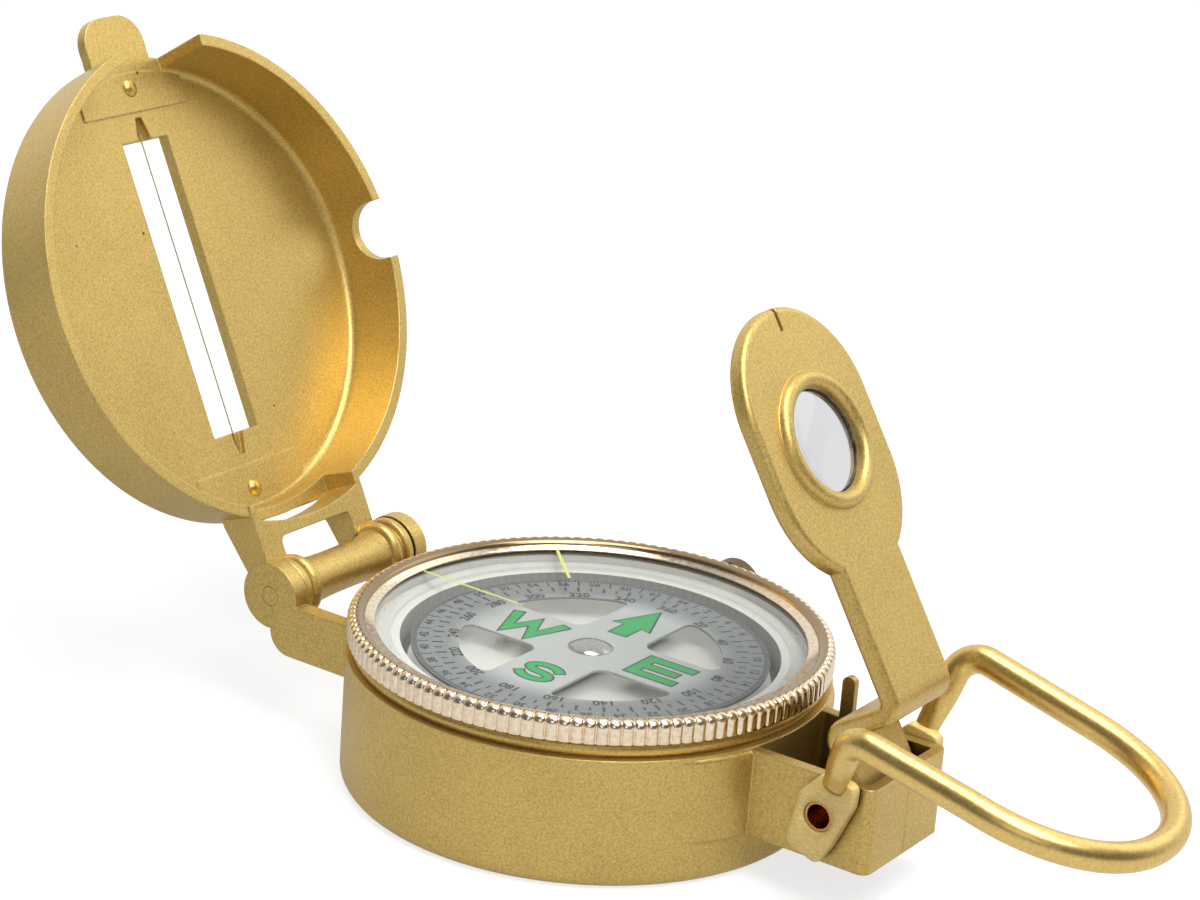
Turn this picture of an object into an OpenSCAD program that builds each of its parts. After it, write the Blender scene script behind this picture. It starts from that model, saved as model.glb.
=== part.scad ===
// Lensatic compass with a hinged sighting cover, a folding lens bracket and a thumb ring.
// Millimetres. The origin is the centre of the flat base, +Z is up, +X runs from the cover
// hinge to the thumb ring. It is drawn open, as it is held for taking a bearing.

/* [Case] */
// Outer radius of the round case
case_r = 28; // [26:0.5:32]
// Height of the case wall, up to the neck
case_h = 15.3; // [14.5:0.1:18]
// Thickness of the case wall
case_wall_t = 2.1; // [1.8:0.1:2.3]
// Thickness of the case floor
case_floor_t = 1.8; // [1.2:0.1:2.4]
// Radius of the rounded bottom edge
case_edge_r = 1.5; // [0.8:0.1:2]
// Height of the rounded neck bead between wall and bezel
neck_h = 1.65; // [1.4:0.05:2]
// How far the neck bead stays inside the wall
neck_inset = 0.6; // [0.4:0.1:1]
// Height of the collar that the bezel turns on
collar_h = 1.15; // [1:0.05:1.5]
// How far the collar stays inside the wall
collar_inset = 1.2; // [1.1:0.05:1.4]

/* [Grip pads] */
// How far the pads beside the lens box stand proud
pad_proud = 0.8; // [0.4:0.1:1.2]
// Angle from the +X axis at which a pad is proudest, beside the lens box
pad_start = 12.6; // [11:0.1:15]
// Angle that a pad covers, until it runs out into the case wall
pad_sweep = 21.9; // [15:0.1:30]
// Height of a pad's lower edge
pad_z = 4.9; // [3:0.1:6]
// Gap between the top of a pad and the neck
pad_drop = 0.2; // [0.1:0.05:0.5]
// Radius of a pad's long edges
pad_edge_r = 0.6; // [0.3:0.1:0.7]
// How far a pad reaches into the case wall
pad_root = 1.5; // [1:0.1:1.8]

/* [Lens box] */
// Outer width of the lens box
box_w = 16.06; // [15.5:0.1:18]
// Distance from the case to the outer rear face of the lens box
box_reach = 14.7; // [14.5:0.1:17]
// Height of the lens box
box_h = 10; // [9.5:0.1:10.5]
// Gap between the top of the lens box and the neck
box_drop = 0.1; // [0.05:0.05:0.3]
// Thickness of the lens box's side walls
box_side_t = 1.4; // [1:0.1:1.6]
// Thickness of the lens box's rear wall
box_rear_t = 1.3; // [1:0.1:1.4]
// Thickness of the lens box's floor
box_floor_t = 1.2; // [0.8:0.1:1.4]
// Radius of the upright rear corners
box_corner_r = 1.2; // [0.8:0.1:1.6]
// Width of the guide ear on the lens box
ear_w = 1.6; // [1.4:0.1:2.4]
// Thickness of the guide ear
ear_t = 0.9; // [0.7:0.1:1.2]
// Height of the guide ear above the lens box
ear_h = 5; // [3:0.1:5.4]
// Gap between the closed cover's rim and the ear
ear_gap = 0.3; // [0.3:0.05:0.6]

/* [Cover hinge] */
// Distance from the case to the cover hinge axis
hinge_reach = 9.5; // [9.3:0.1:11]
// Height of the cover hinge axis above the case wall
hinge_rise = 0.4; // [0.2:0.1:0.8]
// Radius of the round end of a hinge lug
lug_r = 4; // [3.6:0.1:4.2]
// Thickness of a hinge lug
lug_t = 2.06; // [1.6:0.1:2.6]
// Clear width between the hinge lugs
lug_gap_w = 20.8; // [20.2:0.1:23]
// Height of a lug's plate
lug_plate_h = 6.4; // [5.5:0.1:7]
// How far the plate's outer edge stays inside the hinge axis
lug_plate_inset = 0.3; // [0.1:0.1:1]
// Radius of the plate's lower corner
lug_corner_r = 2.8; // [2:0.1:3.2]
// Radius of the hinge pin
hinge_pin_r = 1.15; // [0.9:0.05:1.4]
// Radial clearance round every pin and screw
pin_clear = 0.05; // [0.03:0.01:0.08]

/* [Bezel] */
// Gap between the neck and the bezel
bezel_gap = 0.1; // [0.05:0.05:0.3]
// Height of the bezel ring
bezel_h = 2.8; // [2.7:0.1:3.2]
// Number of ribs round the bezel
rib_count = 127; // [60:1:160]
// Depth of the grooves between the ribs
rib_depth = 0.4; // [0.2:0.05:0.5]
// Running clearance between collar and bezel
bezel_clear = 0.08; // [0.04:0.01:0.1]
// Size of the chamfer on the bezel's upper outer edge
bezel_chamfer = 0.45; // [0.3:0.05:0.6]
// Radius of the snap wire that keeps the bezel on the collar
snap_wire_r = 0.3; // [0.2:0.05:0.3]
// Width of the gap in the snap wire, as an angle
snap_wire_gap = 20; // [10:1:40]
// How deep the snap wire sits in the collar, at its middle
snap_seat = 0.05; // [0:0.01:0.1]
// Clearance round the snap wire in its grooves
snap_clear = 0.05; // [0.03:0.01:0.08]
// Inner radius of the bezel's sloping lip, seen from the case wall
lip_reach = 3.2; // [2.8:0.1:3.6]
// How far the bezel's mouth stays inside the case wall
mouth_inset = 0.8; // [0.6:0.05:1]
// Thickness of the lip's inner edge
lip_edge_t = 0.15; // [0.1:0.05:0.3]

/* [Crystal] */
// Thickness of the flat crystal
crystal_t = 0.6; // [0.4:0.1:0.7]
// How far the crystal's rim reaches under the bezel's lip
crystal_seat_w = 1.5; // [1:0.1:1.6]
// Gap between the collar and the crystal
crystal_gap = 0.25; // [0.2:0.05:0.3]
// Clearance round the crystal
crystal_clear = 0.05; // [0.03:0.01:0.08]

/* [Capsule] */
// Radial gap between capsule and case
capsule_gap = 0.3; // [0.2:0.05:0.4]
// Thickness of the capsule's wall beside the card
capsule_wall_t = 3.7; // [3.4:0.1:4]
// Thickness of the capsule's rim round the lid
capsule_rim_t = 0.7; // [0.5:0.05:0.8]
// Gap between the capsule's rim and the crystal
rim_top_gap = 0.3; // [0.2:0.05:0.4]
// Thickness of the capsule's skirt below the plate
skirt_t = 1.2; // [0.8:0.1:1.6]
// Thickness of the plate under the card
plate_t = 1.2; // [0.8:0.1:1.6]
// Thickness of the cushion under the capsule
cushion_t = 1.2; // [0.8:0.1:1.6]
// Width of the cushion ring
cushion_w = 3.2; // [2:0.1:4]
// Depth of the fluid space from plate to lid
chamber_h = 3.35; // [3.2:0.05:3.6]
// Thickness of the clear lid
lid_t = 0.6; // [0.4:0.05:0.7]
// Thickness of the lid's flange
flange_t = 0.65; // [0.5:0.05:0.8]
// Height of the lid's foot ring below the clear disc
lid_foot_h = 0.45; // [0.3:0.05:0.5]
// Width of the lid's foot ring
lid_foot_w = 1.9; // [1.4:0.1:2.2]
// How far the raised disc of the lid stays inside the flange
lid_step = 1.2; // [1:0.1:1.4]
// Gap between the lid and the crystal
lid_gap = 0.4; // [0.3:0.05:0.5]

/* [Card] */
// Gap between the card's edge and the capsule's wall
card_gap = 1.3; // [0.8:0.1:2]
// Thickness of the card
card_t = 0.3; // [0.2:0.05:0.4]
// Height of the cap's dome above the card
cap_dome_h = 0.75; // [0.6:0.05:0.8]
// Gap between the cap and the lid
cap_gap = 0.15; // [0.12:0.01:0.2]
// Thickness of the cap's metal over the jewel
cap_roof_t = 0.1; // [0.08:0.02:0.2]
// Radius of the cap's dome
cap_r = 2.65; // [2.2:0.05:3.2]
// Radius of the cap's stem
stem_r = 1.6; // [1.4:0.05:1.8]
// Length of the cap's stem below the card
stem_h = 1.15; // [1.05:0.05:1.3]
// Inner radius of the card's printed ring
window_r_out = 15.2; // [14:0.1:16]
// Radius of a window's corner beside the hub
window_hub_r = 1.6; // [0.5:0.1:2.5]
// Half width of the four arms of the card
card_arm_w = 4.2; // [3.5:0.1:5]
// Corner radius of the card's windows
window_corner_r = 1; // [0.5:0.1:1.4]
// Length of the magnet bar
magnet_l = 27; // [20:0.5:32]
// Width of the magnet bar
magnet_w = 5; // [4:0.1:6]
// Thickness of the magnet bar
magnet_t = 0.9; // [0.6:0.05:1]
// Radius of the jewel
jewel_r = 0.9; // [0.8:0.05:1]
// Height of the jewel
jewel_h = 0.85; // [0.7:0.05:0.9]
// Depth of the jewel's cone
jewel_cone_h = 0.56; // [0.4:0.02:0.6]
// Gap between the pivot's point and the bottom of that cone
pivot_gap = 0.06; // [0.04:0.01:0.1]
// Radius of the pivot's point
pivot_tip_r = 0.08; // [0.05:0.01:0.12]
// Side clearance of the pivot in the cone
pivot_clear = 0.14; // [0.08:0.01:0.2]
// Radius of the pivot pin
pivot_r = 0.5; // [0.4:0.05:0.55]
// Radius of the pivot pin's foot
pivot_foot_r = 1.5; // [1.2:0.1:2]
// Thickness of the pivot pin's foot
pivot_foot_t = 0.4; // [0.3:0.05:0.5]

/* [Cover] */
// Angle between the open cover and the case
cover_open = 116; // [0:1:176]
// Thickness of the cover's disc
cover_t = 1.55; // [1.3:0.05:1.8]
// Height of the cover's rim below the inner face
rim_h = 7.8; // [7.5:0.1:8.2]
// Thickness of the rim at its free edge
rim_t = 1.38; // [1.2:0.05:1.6]
// Clearance between bezel and rim at the free edge
rim_gap = 0.55; // [0.5:0.05:0.8]
// How far the rim's outer face draws in towards the disc
rim_draft = 1.06; // [0.6:0.02:1.2]
// How far the rim's inner face draws in towards the disc
rim_draft_in = 0.65; // [0.3:0.05:0.7]
// Radius of the cover's outer edge
cover_edge_r = 1.1; // [0.6:0.1:1.3]
// Radius of the fillet inside the cover
cover_fillet_r = 1.2; // [0.6:0.1:1.4]
// Gap between the cover's inner face and the lens ring
cover_gap = 0.45; // [0.4:0.05:0.7]
// Width of the opening tab
tab_w = 10; // [8:0.1:12]
// How far the tab stands out from the rim's free edge
tab_reach = 4.47; // [3:0.1:6]
// Corner radius of the tab
tab_corner_r = 3.6; // [2:0.1:3.9]
// Step between the disc and the tab's outer face
tab_step = 0.2; // [0.1:0.05:0.3]
// Side clearance of the lens bracket in the rim's gap
shank_gap = 0.4; // [0.3:0.05:0.8]
// Depth of the notch for the lock screw
notch_h = 4.7; // [4.2:0.1:5]
// Gap between the lock screw's head and the notch
notch_gap = 0.35; // [0.3:0.05:0.5]
// Width of the relief in the rim at the hinge
relief_w = 18; // [16:0.1:19.5]
// Height that the relief leaves standing on the disc
relief_left = 3.2; // [2.5:0.1:4]
// Depth of the relief behind the rim's inner face
relief_d = 1.6; // [1.2:0.1:1.8]
// Width of the hinge block
block_w = 20; // [19:0.1:20.1]
// Thickness of the hinge block at the rim
block_t = 5; // [4.4:0.1:5.4]
// Width of each arm of the hinge block
arm_w = 3.6; // [3:0.1:4.2]
// Length of the window between the arms, from the hinge axis
window_l = 6; // [5:0.1:6.2]
// Corner radius of that window
window_block_r = 0.8; // [0.4:0.1:1]
// Radius of the barrel's end rings
barrel_r = 3.9; // [3.5:0.1:4.2]
// Radius of the barrel's waist
waist_r = 2.65; // [2.2:0.05:3]
// Width of the barrel's end bands
band_w = 1.2; // [0.8:0.1:1.6]
// Width of the groove between band and bead
groove_l_barrel = 0.45; // [0.3:0.05:0.8]
// Radius of the barrel at that groove
groove_r_barrel = 3.2; // [3:0.1:3.4]
// Radius of the bead's round section
bead_r = 0.85; // [0.6:0.05:1]
// How far the bead stays below the end bands
bead_drop = 0.05; // [0:0.05:0.3]
// Radius of the edges of the bands
band_edge_r = 0.3; // [0.2:0.05:0.5]
// Side clearance of the barrel between the lugs
barrel_gap = 0.2; // [0.1:0.05:0.3]

/* [Sight] */
// Width of the sighting slot
slot_w = 8; // [6:0.1:9]
// Length of the sighting slot
slot_l = 37.2; // [30:0.1:42]
// How far the slot's middle lies beyond the cover's middle
slot_shift = 0.3; // [-0.5:0.1:1]
// Length of the trough at each end of the slot
trough_l = 2.8; // [2:0.1:3.5]
// Width of a trough where it meets the slot
trough_w = 2.6; // [2:0.1:3]
// Width of a trough at its closed end
trough_tip_w = 1; // [0.7:0.1:1.4]
// Depth of a trough
trough_d = 0.75; // [0.5:0.05:0.9]
// Radius of the sighting wire
sight_wire_r = 0.08; // [0.06:0.01:0.2]
// Radius of a stud's dome
stud_r = 1.15; // [0.8:0.05:1.25]
// Height of a stud's dome
stud_h = 0.55; // [0.3:0.05:0.6]
// Radius of a stud's shank
stud_shank_r = 0.5; // [0.35:0.05:0.55]
// Length of a stud's shank
stud_shank_l = 1; // [0.7:0.05:1.1]
// Distance of the studs from the rim's inner face
stud_inset = 2.5; // [2.2:0.1:2.8]
// Clearance round a stud's shank
stud_clear = 0.02; // [0.01:0.01:0.05]
// Width of the raised lands that carry the studs
land_w = 18; // [12:0.1:19]
// How far the lands stand proud
land_t = 0.2; // [0.1:0.05:0.25]
// Length of the lands, from the rim's inner face
land_l = 5.5; // [4.5:0.1:6]
// Gap between the sighting wire's ends and the ends of the troughs
wire_end_gap = 0.2; // [0.1:0.05:0.4]

/* [Lens bracket] */
// Angle between the open bracket and the case
bracket_open = 58; // [0:1:88]
// Distance from the case to the bracket's pin
pin_reach = 9.1; // [9:0.1:10]
// Depth of the bracket's pin below the case wall's top
pin_drop = 4.2; // [4:0.1:4.6]
// Thickness of the bracket's strip
strip_t = 2.2; // [1.8:0.1:2.4]
// Width of the bracket's strip
strip_w = 12; // [10:0.1:12.2]
// Radius of the strip's rounded edges
strip_edge_r = 0.7; // [0.4:0.1:0.85]
// Inner radius of the strip's bends
bend_r = 0.5; // [0.3:0.1:0.7]
// Gap between the bezel and the closed bracket's plate
plate_gap = 1.45; // [1.2:0.05:1.8]
// Gap between the bezel and the closed bracket's foot
foot_gap = 0.4; // [0.3:0.05:0.6]
// Gap between the bracket's heel and the lens box's rear wall
heel_gap = 0.4; // [0.3:0.05:0.6]
// Side clearance that the knuckle and heel leave under the strip's width
knuckle_inset = 0.2; // [0.1:0.05:0.4]
// Radius of the bracket's knuckle
knuckle_r = 2.5; // [2.3:0.1:2.9]
// Radius of the bracket's round head
head_r = 11.3; // [10:0.1:12]
// Distance between the two centres of the head
head_l = 7.9; // [5:0.1:10]
// Radius of the lens
lens_r = 6.4; // [5.5:0.1:7]
// Thickness of the lens at its edge
lens_edge_t = 1.25; // [0.8:0.05:1.3]
// Radius of the lens's curved faces
lens_curve_r = 45; // [35:1:80]
// How far the lip covers the lens's edge
lens_lip_w = 0.55; // [0.4:0.05:0.7]
// Thickness of the lip over the lens's edge
lens_lip_t = 0.4; // [0.3:0.05:0.5]
// Radius of the rounded ring round the lens
lens_ring_r = 0.95; // [0.7:0.05:1]
// Clearance round the lens
lens_clear = 0.05; // [0.03:0.01:0.08]
// Width of the lens retainer's ring
retainer_w = 0.7; // [0.5:0.05:0.9]
// Width of the gap in the retainer, as an angle
retainer_gap = 14; // [8:1:30]
// Length of the sight groove on the head
groove_l = 2.8; // [2:0.1:3.4]
// Width of the sight groove
groove_w = 0.6; // [0.4:0.05:0.8]
// Depth of the sight groove
groove_d = 0.7; // [0.4:0.05:1]

/* [Thumb ring] */
// Radius of the thumb ring's wire
wire_r = 1.65; // [1.4:0.05:1.8]
// Distance between the middles of the ring's legs
ring_w = 27.68; // [24:0.1:30]
// Distance from the ring's bends to its tip
ring_l = 30.85; // [28:0.1:36]
// Length of the ring's rounded crown
crown_l = 15.85; // [14.5:0.1:17]
// Fullness of the crown's curve, where 2 is an ellipse
crown_power = 2.1; // [2:0.05:2.6]
// Distance of the ring's bends behind the pin
bend_x = 5.4; // [4.5:0.1:6.5]
// Height of the ring's bends above the pin
bend_z = 13.2; // [12:0.1:14.5]
// How far the -Y bend lies below that height
near_bend_drop = 0.8; // [0:0.1:1]
// How far the +Y bend lies above that height
far_bend_lift = 0.3; // [0:0.1:0.6]
// How much nearer to the pin the +Y bend lies
far_bend_shift = 1.8; // [0:0.1:2]
// Distance behind the pin at which the wire meets a paddle
root_x = 1.7; // [1:0.1:2.2]
// Height above the pin at which the wire meets a paddle
root_z = 4.6; // [4:0.1:5]
// Angle by which the open ring slopes down
ring_slope = 15; // [5:0.5:20]
// Radius of the ring's bends, on the wire's middle line
ring_bend_r = 3; // [2.5:0.1:3.6]
// Thickness of the flattened paddles
paddle_t = 1.6; // [1.2:0.1:1.6]
// Gap between the lens box and a paddle
paddle_gap = 0.27; // [0.2:0.01:0.4]
// Corner radius of a paddle
paddle_corner_r = 1; // [0.6:0.1:1.2]
// Outer radius of the hollow pin
pin_r = 1.7; // [1.4:0.05:1.8]
// Thickness of the hollow pin's wall
pin_wall_t = 0.3; // [0.25:0.05:0.4]
// How far the hollow pin's ends stay inside the paddles
pin_sunk = 0.3; // [0.1:0.05:0.5]

/* [Lock screw] */
// Distance of the lock screw from the case's middle, along X
screw_x = 0.6; // [-2:0.1:2]
// Radius of the lock screw's head
screw_head_r = 3.4; // [3:0.1:3.6]
// Thickness of the lock screw's head
screw_head_t = 2.3; // [1.8:0.1:2.8]
// Radius of the lock screw's shank
screw_r = 0.7; // [0.5:0.05:0.75]
// Gap between the bezel and the backed-off head
screw_gap = 0.3; // [0.2:0.05:0.5]
// Size of the chamfer on the head
screw_chamfer = 0.4; // [0.2:0.05:0.6]
// How far the shank's end stays outside the case's hollow
screw_end_gap = 0.2; // [0.1:0.05:0.4]
// Width of the screwdriver slot
screw_slot_w = 0.8; // [0.6:0.1:1.2]
// Depth of the screwdriver slot
screw_slot_d = 0.8; // [0.5:0.1:1.2]

/* [Hidden] */
$fn = 96;

// Colours of the finishes
paint_gold = "#b59a4a";
brass = "#d8b455";
rose_gold = "#d9c3a0";
steel = "#b9bcc0";
frosted_white = "#e4e8e4";
clear = [0.85, 0.92, 0.95, 0.35];

// A hair by which a cut runs past the faces that it opens
over = 0.5;

// Heights of the stack, from the base up
case_in_r = case_r - case_wall_t;
neck_top = case_h + neck_h;
collar_top = neck_top + collar_h;
bezel_z = neck_top + bezel_gap;
bezel_top = bezel_z + bezel_h;
crystal_z = collar_top + crystal_gap;
crystal_top = crystal_z + crystal_t;

// Radii of collar, bezel and crystal
collar_r = case_r - collar_inset;
bezel_bore_r = collar_r + bezel_clear;
bezel_lip_r = case_r - lip_reach;
bezel_pocket_r = bezel_lip_r + crystal_seat_w;
bezel_mouth_r = case_r - mouth_inset;
crystal_r = bezel_pocket_r - crystal_clear;
snap_z = neck_top + collar_h / 2;
snap_r = collar_r - snap_seat;
snap_groove_w = 2 * (snap_wire_r + snap_clear);

// Capsule, from the crystal down
capsule_r = case_in_r - capsule_gap;
chamber_r = capsule_r - capsule_wall_t;
capsule_rim_r = capsule_r - capsule_rim_t;
capsule_top = crystal_z - rim_top_gap;
lid_r = capsule_rim_r - crystal_clear;
lid_top = crystal_z - lid_gap;
lid_under = lid_top - lid_t;
lid_seat_z = lid_under - lid_foot_h;
plate_top = lid_under - chamber_h;
cushion_top = case_floor_t + cushion_t;

// Card, hung below the lid
card_top = lid_under - cap_gap - cap_dome_h;
card_z = card_top - card_t;
card_r = chamber_r - card_gap;
stem_z = card_z - stem_h;
jewel_z = card_top - cap_roof_t - jewel_h;
pivot_tip_z = jewel_z + jewel_cone_h - pivot_gap;
magnet_z = card_z - magnet_t;

// Lens box and the bracket's pin
box_top = case_h - box_drop;
box_z = box_top - box_h;
box_x = case_r + box_reach;
box_in_x = box_x - box_rear_t;
box_in_w = box_w - 2 * box_side_t;
pin_x = case_r + pin_reach;
pin_z = case_h - pin_drop;

// Bracket in its own frame: x runs from the pin along the plate, z stands off the plate
heel_r = box_in_x - pin_x - heel_gap;
tongue_z = heel_r - strip_t;
plate_z = bezel_top + plate_gap - pin_z;
plate_out_z = plate_z + strip_t;
foot_x = pin_x - case_r - foot_gap;
foot_out_x = foot_x - strip_t;
bend_out_r = bend_r + strip_t;
lens_x = pin_x;
lens_seat_z = plate_out_z - lens_lip_t;
lens_z = lens_seat_z - lens_edge_t;
ring_mid_r = lens_r - lens_lip_w + lens_ring_r;

// Cover in its own frame: x runs from the hinge axis across the disc, z is up when closed
hinge_x = -(case_r + hinge_reach);
hinge_z = case_h + hinge_rise;
cover_x = -hinge_x;
cover_in_z = pin_z + plate_out_z + lens_ring_r + cover_gap - hinge_z;
cover_out_z = cover_in_z + cover_t;
rim_z = cover_in_z - rim_h;
rim_in_r = case_r + rim_gap;
rim_out_r = rim_in_r + rim_t;
rim_top_r = rim_in_r - rim_draft_in;
stud_dist = rim_top_r - stud_inset;
land_dist = rim_top_r - land_l;
relief_r = rim_in_r + relief_d;
relief_z = cover_in_z - relief_left;
block_z = rim_z - tab_step;
slot_x = cover_x + slot_shift;
notch_r = screw_head_r + notch_gap;
ear_x = sqrt(pow(rim_out_r, 2) - pow(box_in_w / 2, 2)) + ear_gap;

// Eccentric outline of the grip pads: through the wall at one end, proud of it at the other
pad_end = pad_start + pad_sweep;
pad_r0 = case_r + pad_proud;
pad_shift = (pow(pad_r0, 2) - pow(case_r, 2))
    / (2 * (pad_r0 * cos(pad_start) - case_r * cos(pad_end)));
pad_r = norm([case_r * cos(pad_end) - pad_shift, case_r * sin(pad_end)]);

// Thumb ring
paddle_y = box_w / 2 + paddle_gap;
leg_y = ring_w / 2;
leg_l = ring_l - crown_l;
pin_l = 2 * (paddle_y + paddle_t - pin_sunk);

// Lock screw, in the neck just under the bezel
screw_z = case_h + neck_h / 2;
screw_y = case_r + screw_gap;

// Unit vector along v
function unit(v) = v / norm(v);

// Points of an arc about c, from angle a to angle b, with the given number of steps
function arc(c, r, a, b, steps = 6) = [
    for (i = [0:steps])
        let (t = a + (b - a) * i / steps)
            [c[0] + r * cos(t), c[1] + r * sin(t)]
];

// The points of a closed outline, without those that repeat the one before
function distinct(points) = [
    for (i = [0:len(points) - 1])
        if (norm(points[i] - points[(i + len(points) - 1) % len(points)]) > 0.001)
            points[i]
];

// A rectangle with rounded corners, from its low corner
module soft_rect(w, h, r) {
    translate([r, 0]) square([w - 2 * r, h]);
    translate([0, r]) square([w, h - 2 * r]);
    for (x = [r, w - r], y = [r, h - r]) {
        translate([x, y]) circle(r);
    }
}

// A flat outline in x and z, made l thick along y and centred on y
module along_y(l) {
    translate([0, l / 2, 0]) rotate([90, 0, 0]) linear_extrude(l) children();
}

// A round bar along y, centred on y
module y_bar(r, l) {
    rotate([90, 0, 0]) cylinder(h = l, r = r, center = true);
}

// A wire along a path: stations are [middle, radius], and ref is never along the path
module wire_sweep(stations, ref, sides = 24) {
    last = len(stations) - 1;
    points = [
        for (i = [0:last], k = [0:sides - 1])
            let (
                ahead = stations[min(i + 1, last)][0],
                behind = stations[max(i - 1, 0)][0],
                along = unit(ahead - behind),
                across = unit(cross(ref, along)),
                up = cross(along, across),
                t = 360 * k / sides
            )
                stations[i][0] + stations[i][1] * (cos(t) * across + sin(t) * up)
    ];
    skin = [
        for (i = [0:last - 1], k = [0:sides - 1], half = [0, 1])
            let (m = (k + 1) % sides, a = i * sides, b = a + sides)
                half == 0 ? [a + k, b + k, b + m] : [a + k, b + m, a + m]
    ];
    ends = [
        for (k = [1:sides - 2], end = [0, 1])
            end == 0 ? [0, k, k + 1] : last * sides * [1, 1, 1] + [0, k + 1, k]
    ];
    polyhedron(points, concat(skin, ends));
}

// The place of the cover's own frame
module on_cover() {
    translate([hinge_x, 0, hinge_z]) rotate([0, -cover_open, 0]) children();
}

// The place of the bracket's own frame
module on_bracket() {
    translate([pin_x, 0, pin_z])
        rotate([0, bracket_open, 0])
            mirror([1, 0, 0]) children();
}

// Outline of the case's wall, neck bead and collar, turned about the middle
module case_profile() {
    bead_r = neck_h / 2;
    square([case_r - case_edge_r, case_h]);
    translate([0, case_edge_r]) square([case_r, case_h - case_edge_r]);
    translate([case_r - case_edge_r, case_edge_r]) circle(case_edge_r);
    square([case_r - neck_inset - bead_r, neck_top]);
    translate([case_r - neck_inset - bead_r, case_h + bead_r]) circle(bead_r);
    square([collar_r, collar_top]);
}

// One hinge lug, seen from the side
module lug_outline() {
    plate_x = hinge_x + lug_plate_inset;
    plate_z = case_h - lug_plate_h;
    root_x = -sqrt(pow(case_r - case_wall_t / 2, 2) - pow(lug_gap_w / 2 + lug_t, 2));
    plate_l = plate_x - root_x;
    translate([hinge_x, hinge_z]) circle(lug_r);
    translate([plate_x + lug_corner_r, plate_z]) square([-plate_l - lug_corner_r, lug_plate_h]);
    translate([plate_x, plate_z + lug_corner_r]) square([-plate_l, lug_plate_h - lug_corner_r]);
    translate([plate_x + lug_corner_r, plate_z + lug_corner_r]) circle(lug_corner_r);
}

// Outer form of the lens box
module lens_box_body() {
    translate([0, 0, box_z]) linear_extrude(box_h) {
        translate([0, -box_w / 2]) square([box_x - box_corner_r, box_w]);
        translate([0, box_corner_r - box_w / 2]) square([box_x, box_w - 2 * box_corner_r]);
        for (side = [-1, 1]) {
            translate([box_x - box_corner_r, side * (box_w / 2 - box_corner_r)])
                circle(box_corner_r);
        }
    }
}

// Hollow of the lens box, with the round case wall as its front
module lens_box_hollow() {
    difference() {
        translate([0, -box_in_w / 2, box_z + box_floor_t]) cube([box_in_x, box_in_w, box_h]);
        translate([0, 0, -over]) cylinder(h = collar_top, r = case_r);
    }
}

// Guide ear on the far wall of the lens box
module guide_ear() {
    ear_top = box_top + ear_h;
    translate([ear_x, (box_in_w + ear_t) / 2, 0]) along_y(ear_t) {
        translate([0, box_z]) square([ear_w, ear_top - ear_w / 2 - box_z]);
        translate([ear_w / 2, ear_top - ear_w / 2]) circle(ear_w / 2);
    }
}

// A grip pad beside the lens box, on the +Y side
module grip_pad() {
    start = atan2(pad_r0 * sin(pad_start), pad_r0 * cos(pad_start) - pad_shift);
    end = atan2(case_r * sin(pad_end), case_r * cos(pad_end) - pad_shift);
    translate([pad_shift, 0, 0])
        rotate([0, 0, start])
            rotate_extrude(angle = end - start)
                translate([pad_r - pad_root, pad_z])
                    soft_rect(pad_root, case_h - pad_drop - pad_z, pad_edge_r);
}

module case() {
    color(paint_gold) difference() {
        union() {
            rotate_extrude() case_profile();
            lens_box_body();
            guide_ear();
            for (side = [0, 1]) {
                mirror([0, side, 0]) {
                    grip_pad();
                    translate([0, (lug_gap_w + lug_t) / 2, 0]) along_y(lug_t) lug_outline();
                }
            }
        }
        translate([0, 0, case_floor_t]) cylinder(h = collar_top, r = case_in_r);
        lens_box_hollow();
        rotate_extrude()
            translate([snap_r - snap_wire_r - snap_clear, snap_z - snap_groove_w / 2])
                square([snap_wire_r + over, snap_groove_w]);
        translate([hinge_x, 0, hinge_z])
            y_bar(hinge_pin_r + pin_clear, lug_gap_w + 2 * lug_t + 2 * over);
        translate([pin_x, 0, pin_z]) y_bar(pin_r + pin_clear, box_w + 2 * over);
        translate([screw_x, case_r, screw_z]) y_bar(screw_r + pin_clear, 2 * case_wall_t + over);
    }
}

// Soft ring that the capsule stands on
module capsule_cushion() {
    color("#4a4a48") translate([0, 0, case_floor_t]) difference() {
        cylinder(h = cushion_t, r = capsule_r);
        translate([0, 0, -over]) cylinder(h = cushion_t + 2 * over, r = capsule_r - cushion_w);
    }
}

// White cup with the plate below the card, a seat and a rim for the lid, and a skirt
module capsule_base() {
    color(frosted_white) rotate_extrude() difference() {
        translate([0, cushion_top]) square([capsule_r, capsule_top - cushion_top]);
        translate([-over, plate_top]) square([chamber_r + over, chamber_h + lid_t]);
        translate([-over, lid_seat_z]) square([capsule_rim_r + over, capsule_top - lid_seat_z + over]);
        translate([-over, cushion_top - over])
            square([capsule_r - skirt_t + over, plate_top - plate_t - cushion_top + over]);
    }
}

// Clear lid with a raised disc, a low flange round it and a foot ring on the cup's seat
module capsule_lid() {
    disc_r = lid_r - lid_step;
    soft_r = (lid_top - lid_seat_z - flange_t) / 2;
    color(clear) rotate_extrude() difference() {
        union() {
            translate([0, lid_seat_z]) square([lid_r, flange_t]);
            translate([0, lid_seat_z]) square([disc_r - soft_r, lid_top - lid_seat_z]);
            translate([0, lid_seat_z]) square([disc_r, lid_top - soft_r - lid_seat_z]);
            translate([disc_r - soft_r, lid_top - soft_r]) circle(soft_r);
        }
        translate([-over, lid_seat_z - over])
            square([lid_r - lid_foot_w + over, lid_foot_h + over]);
    }
}

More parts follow.
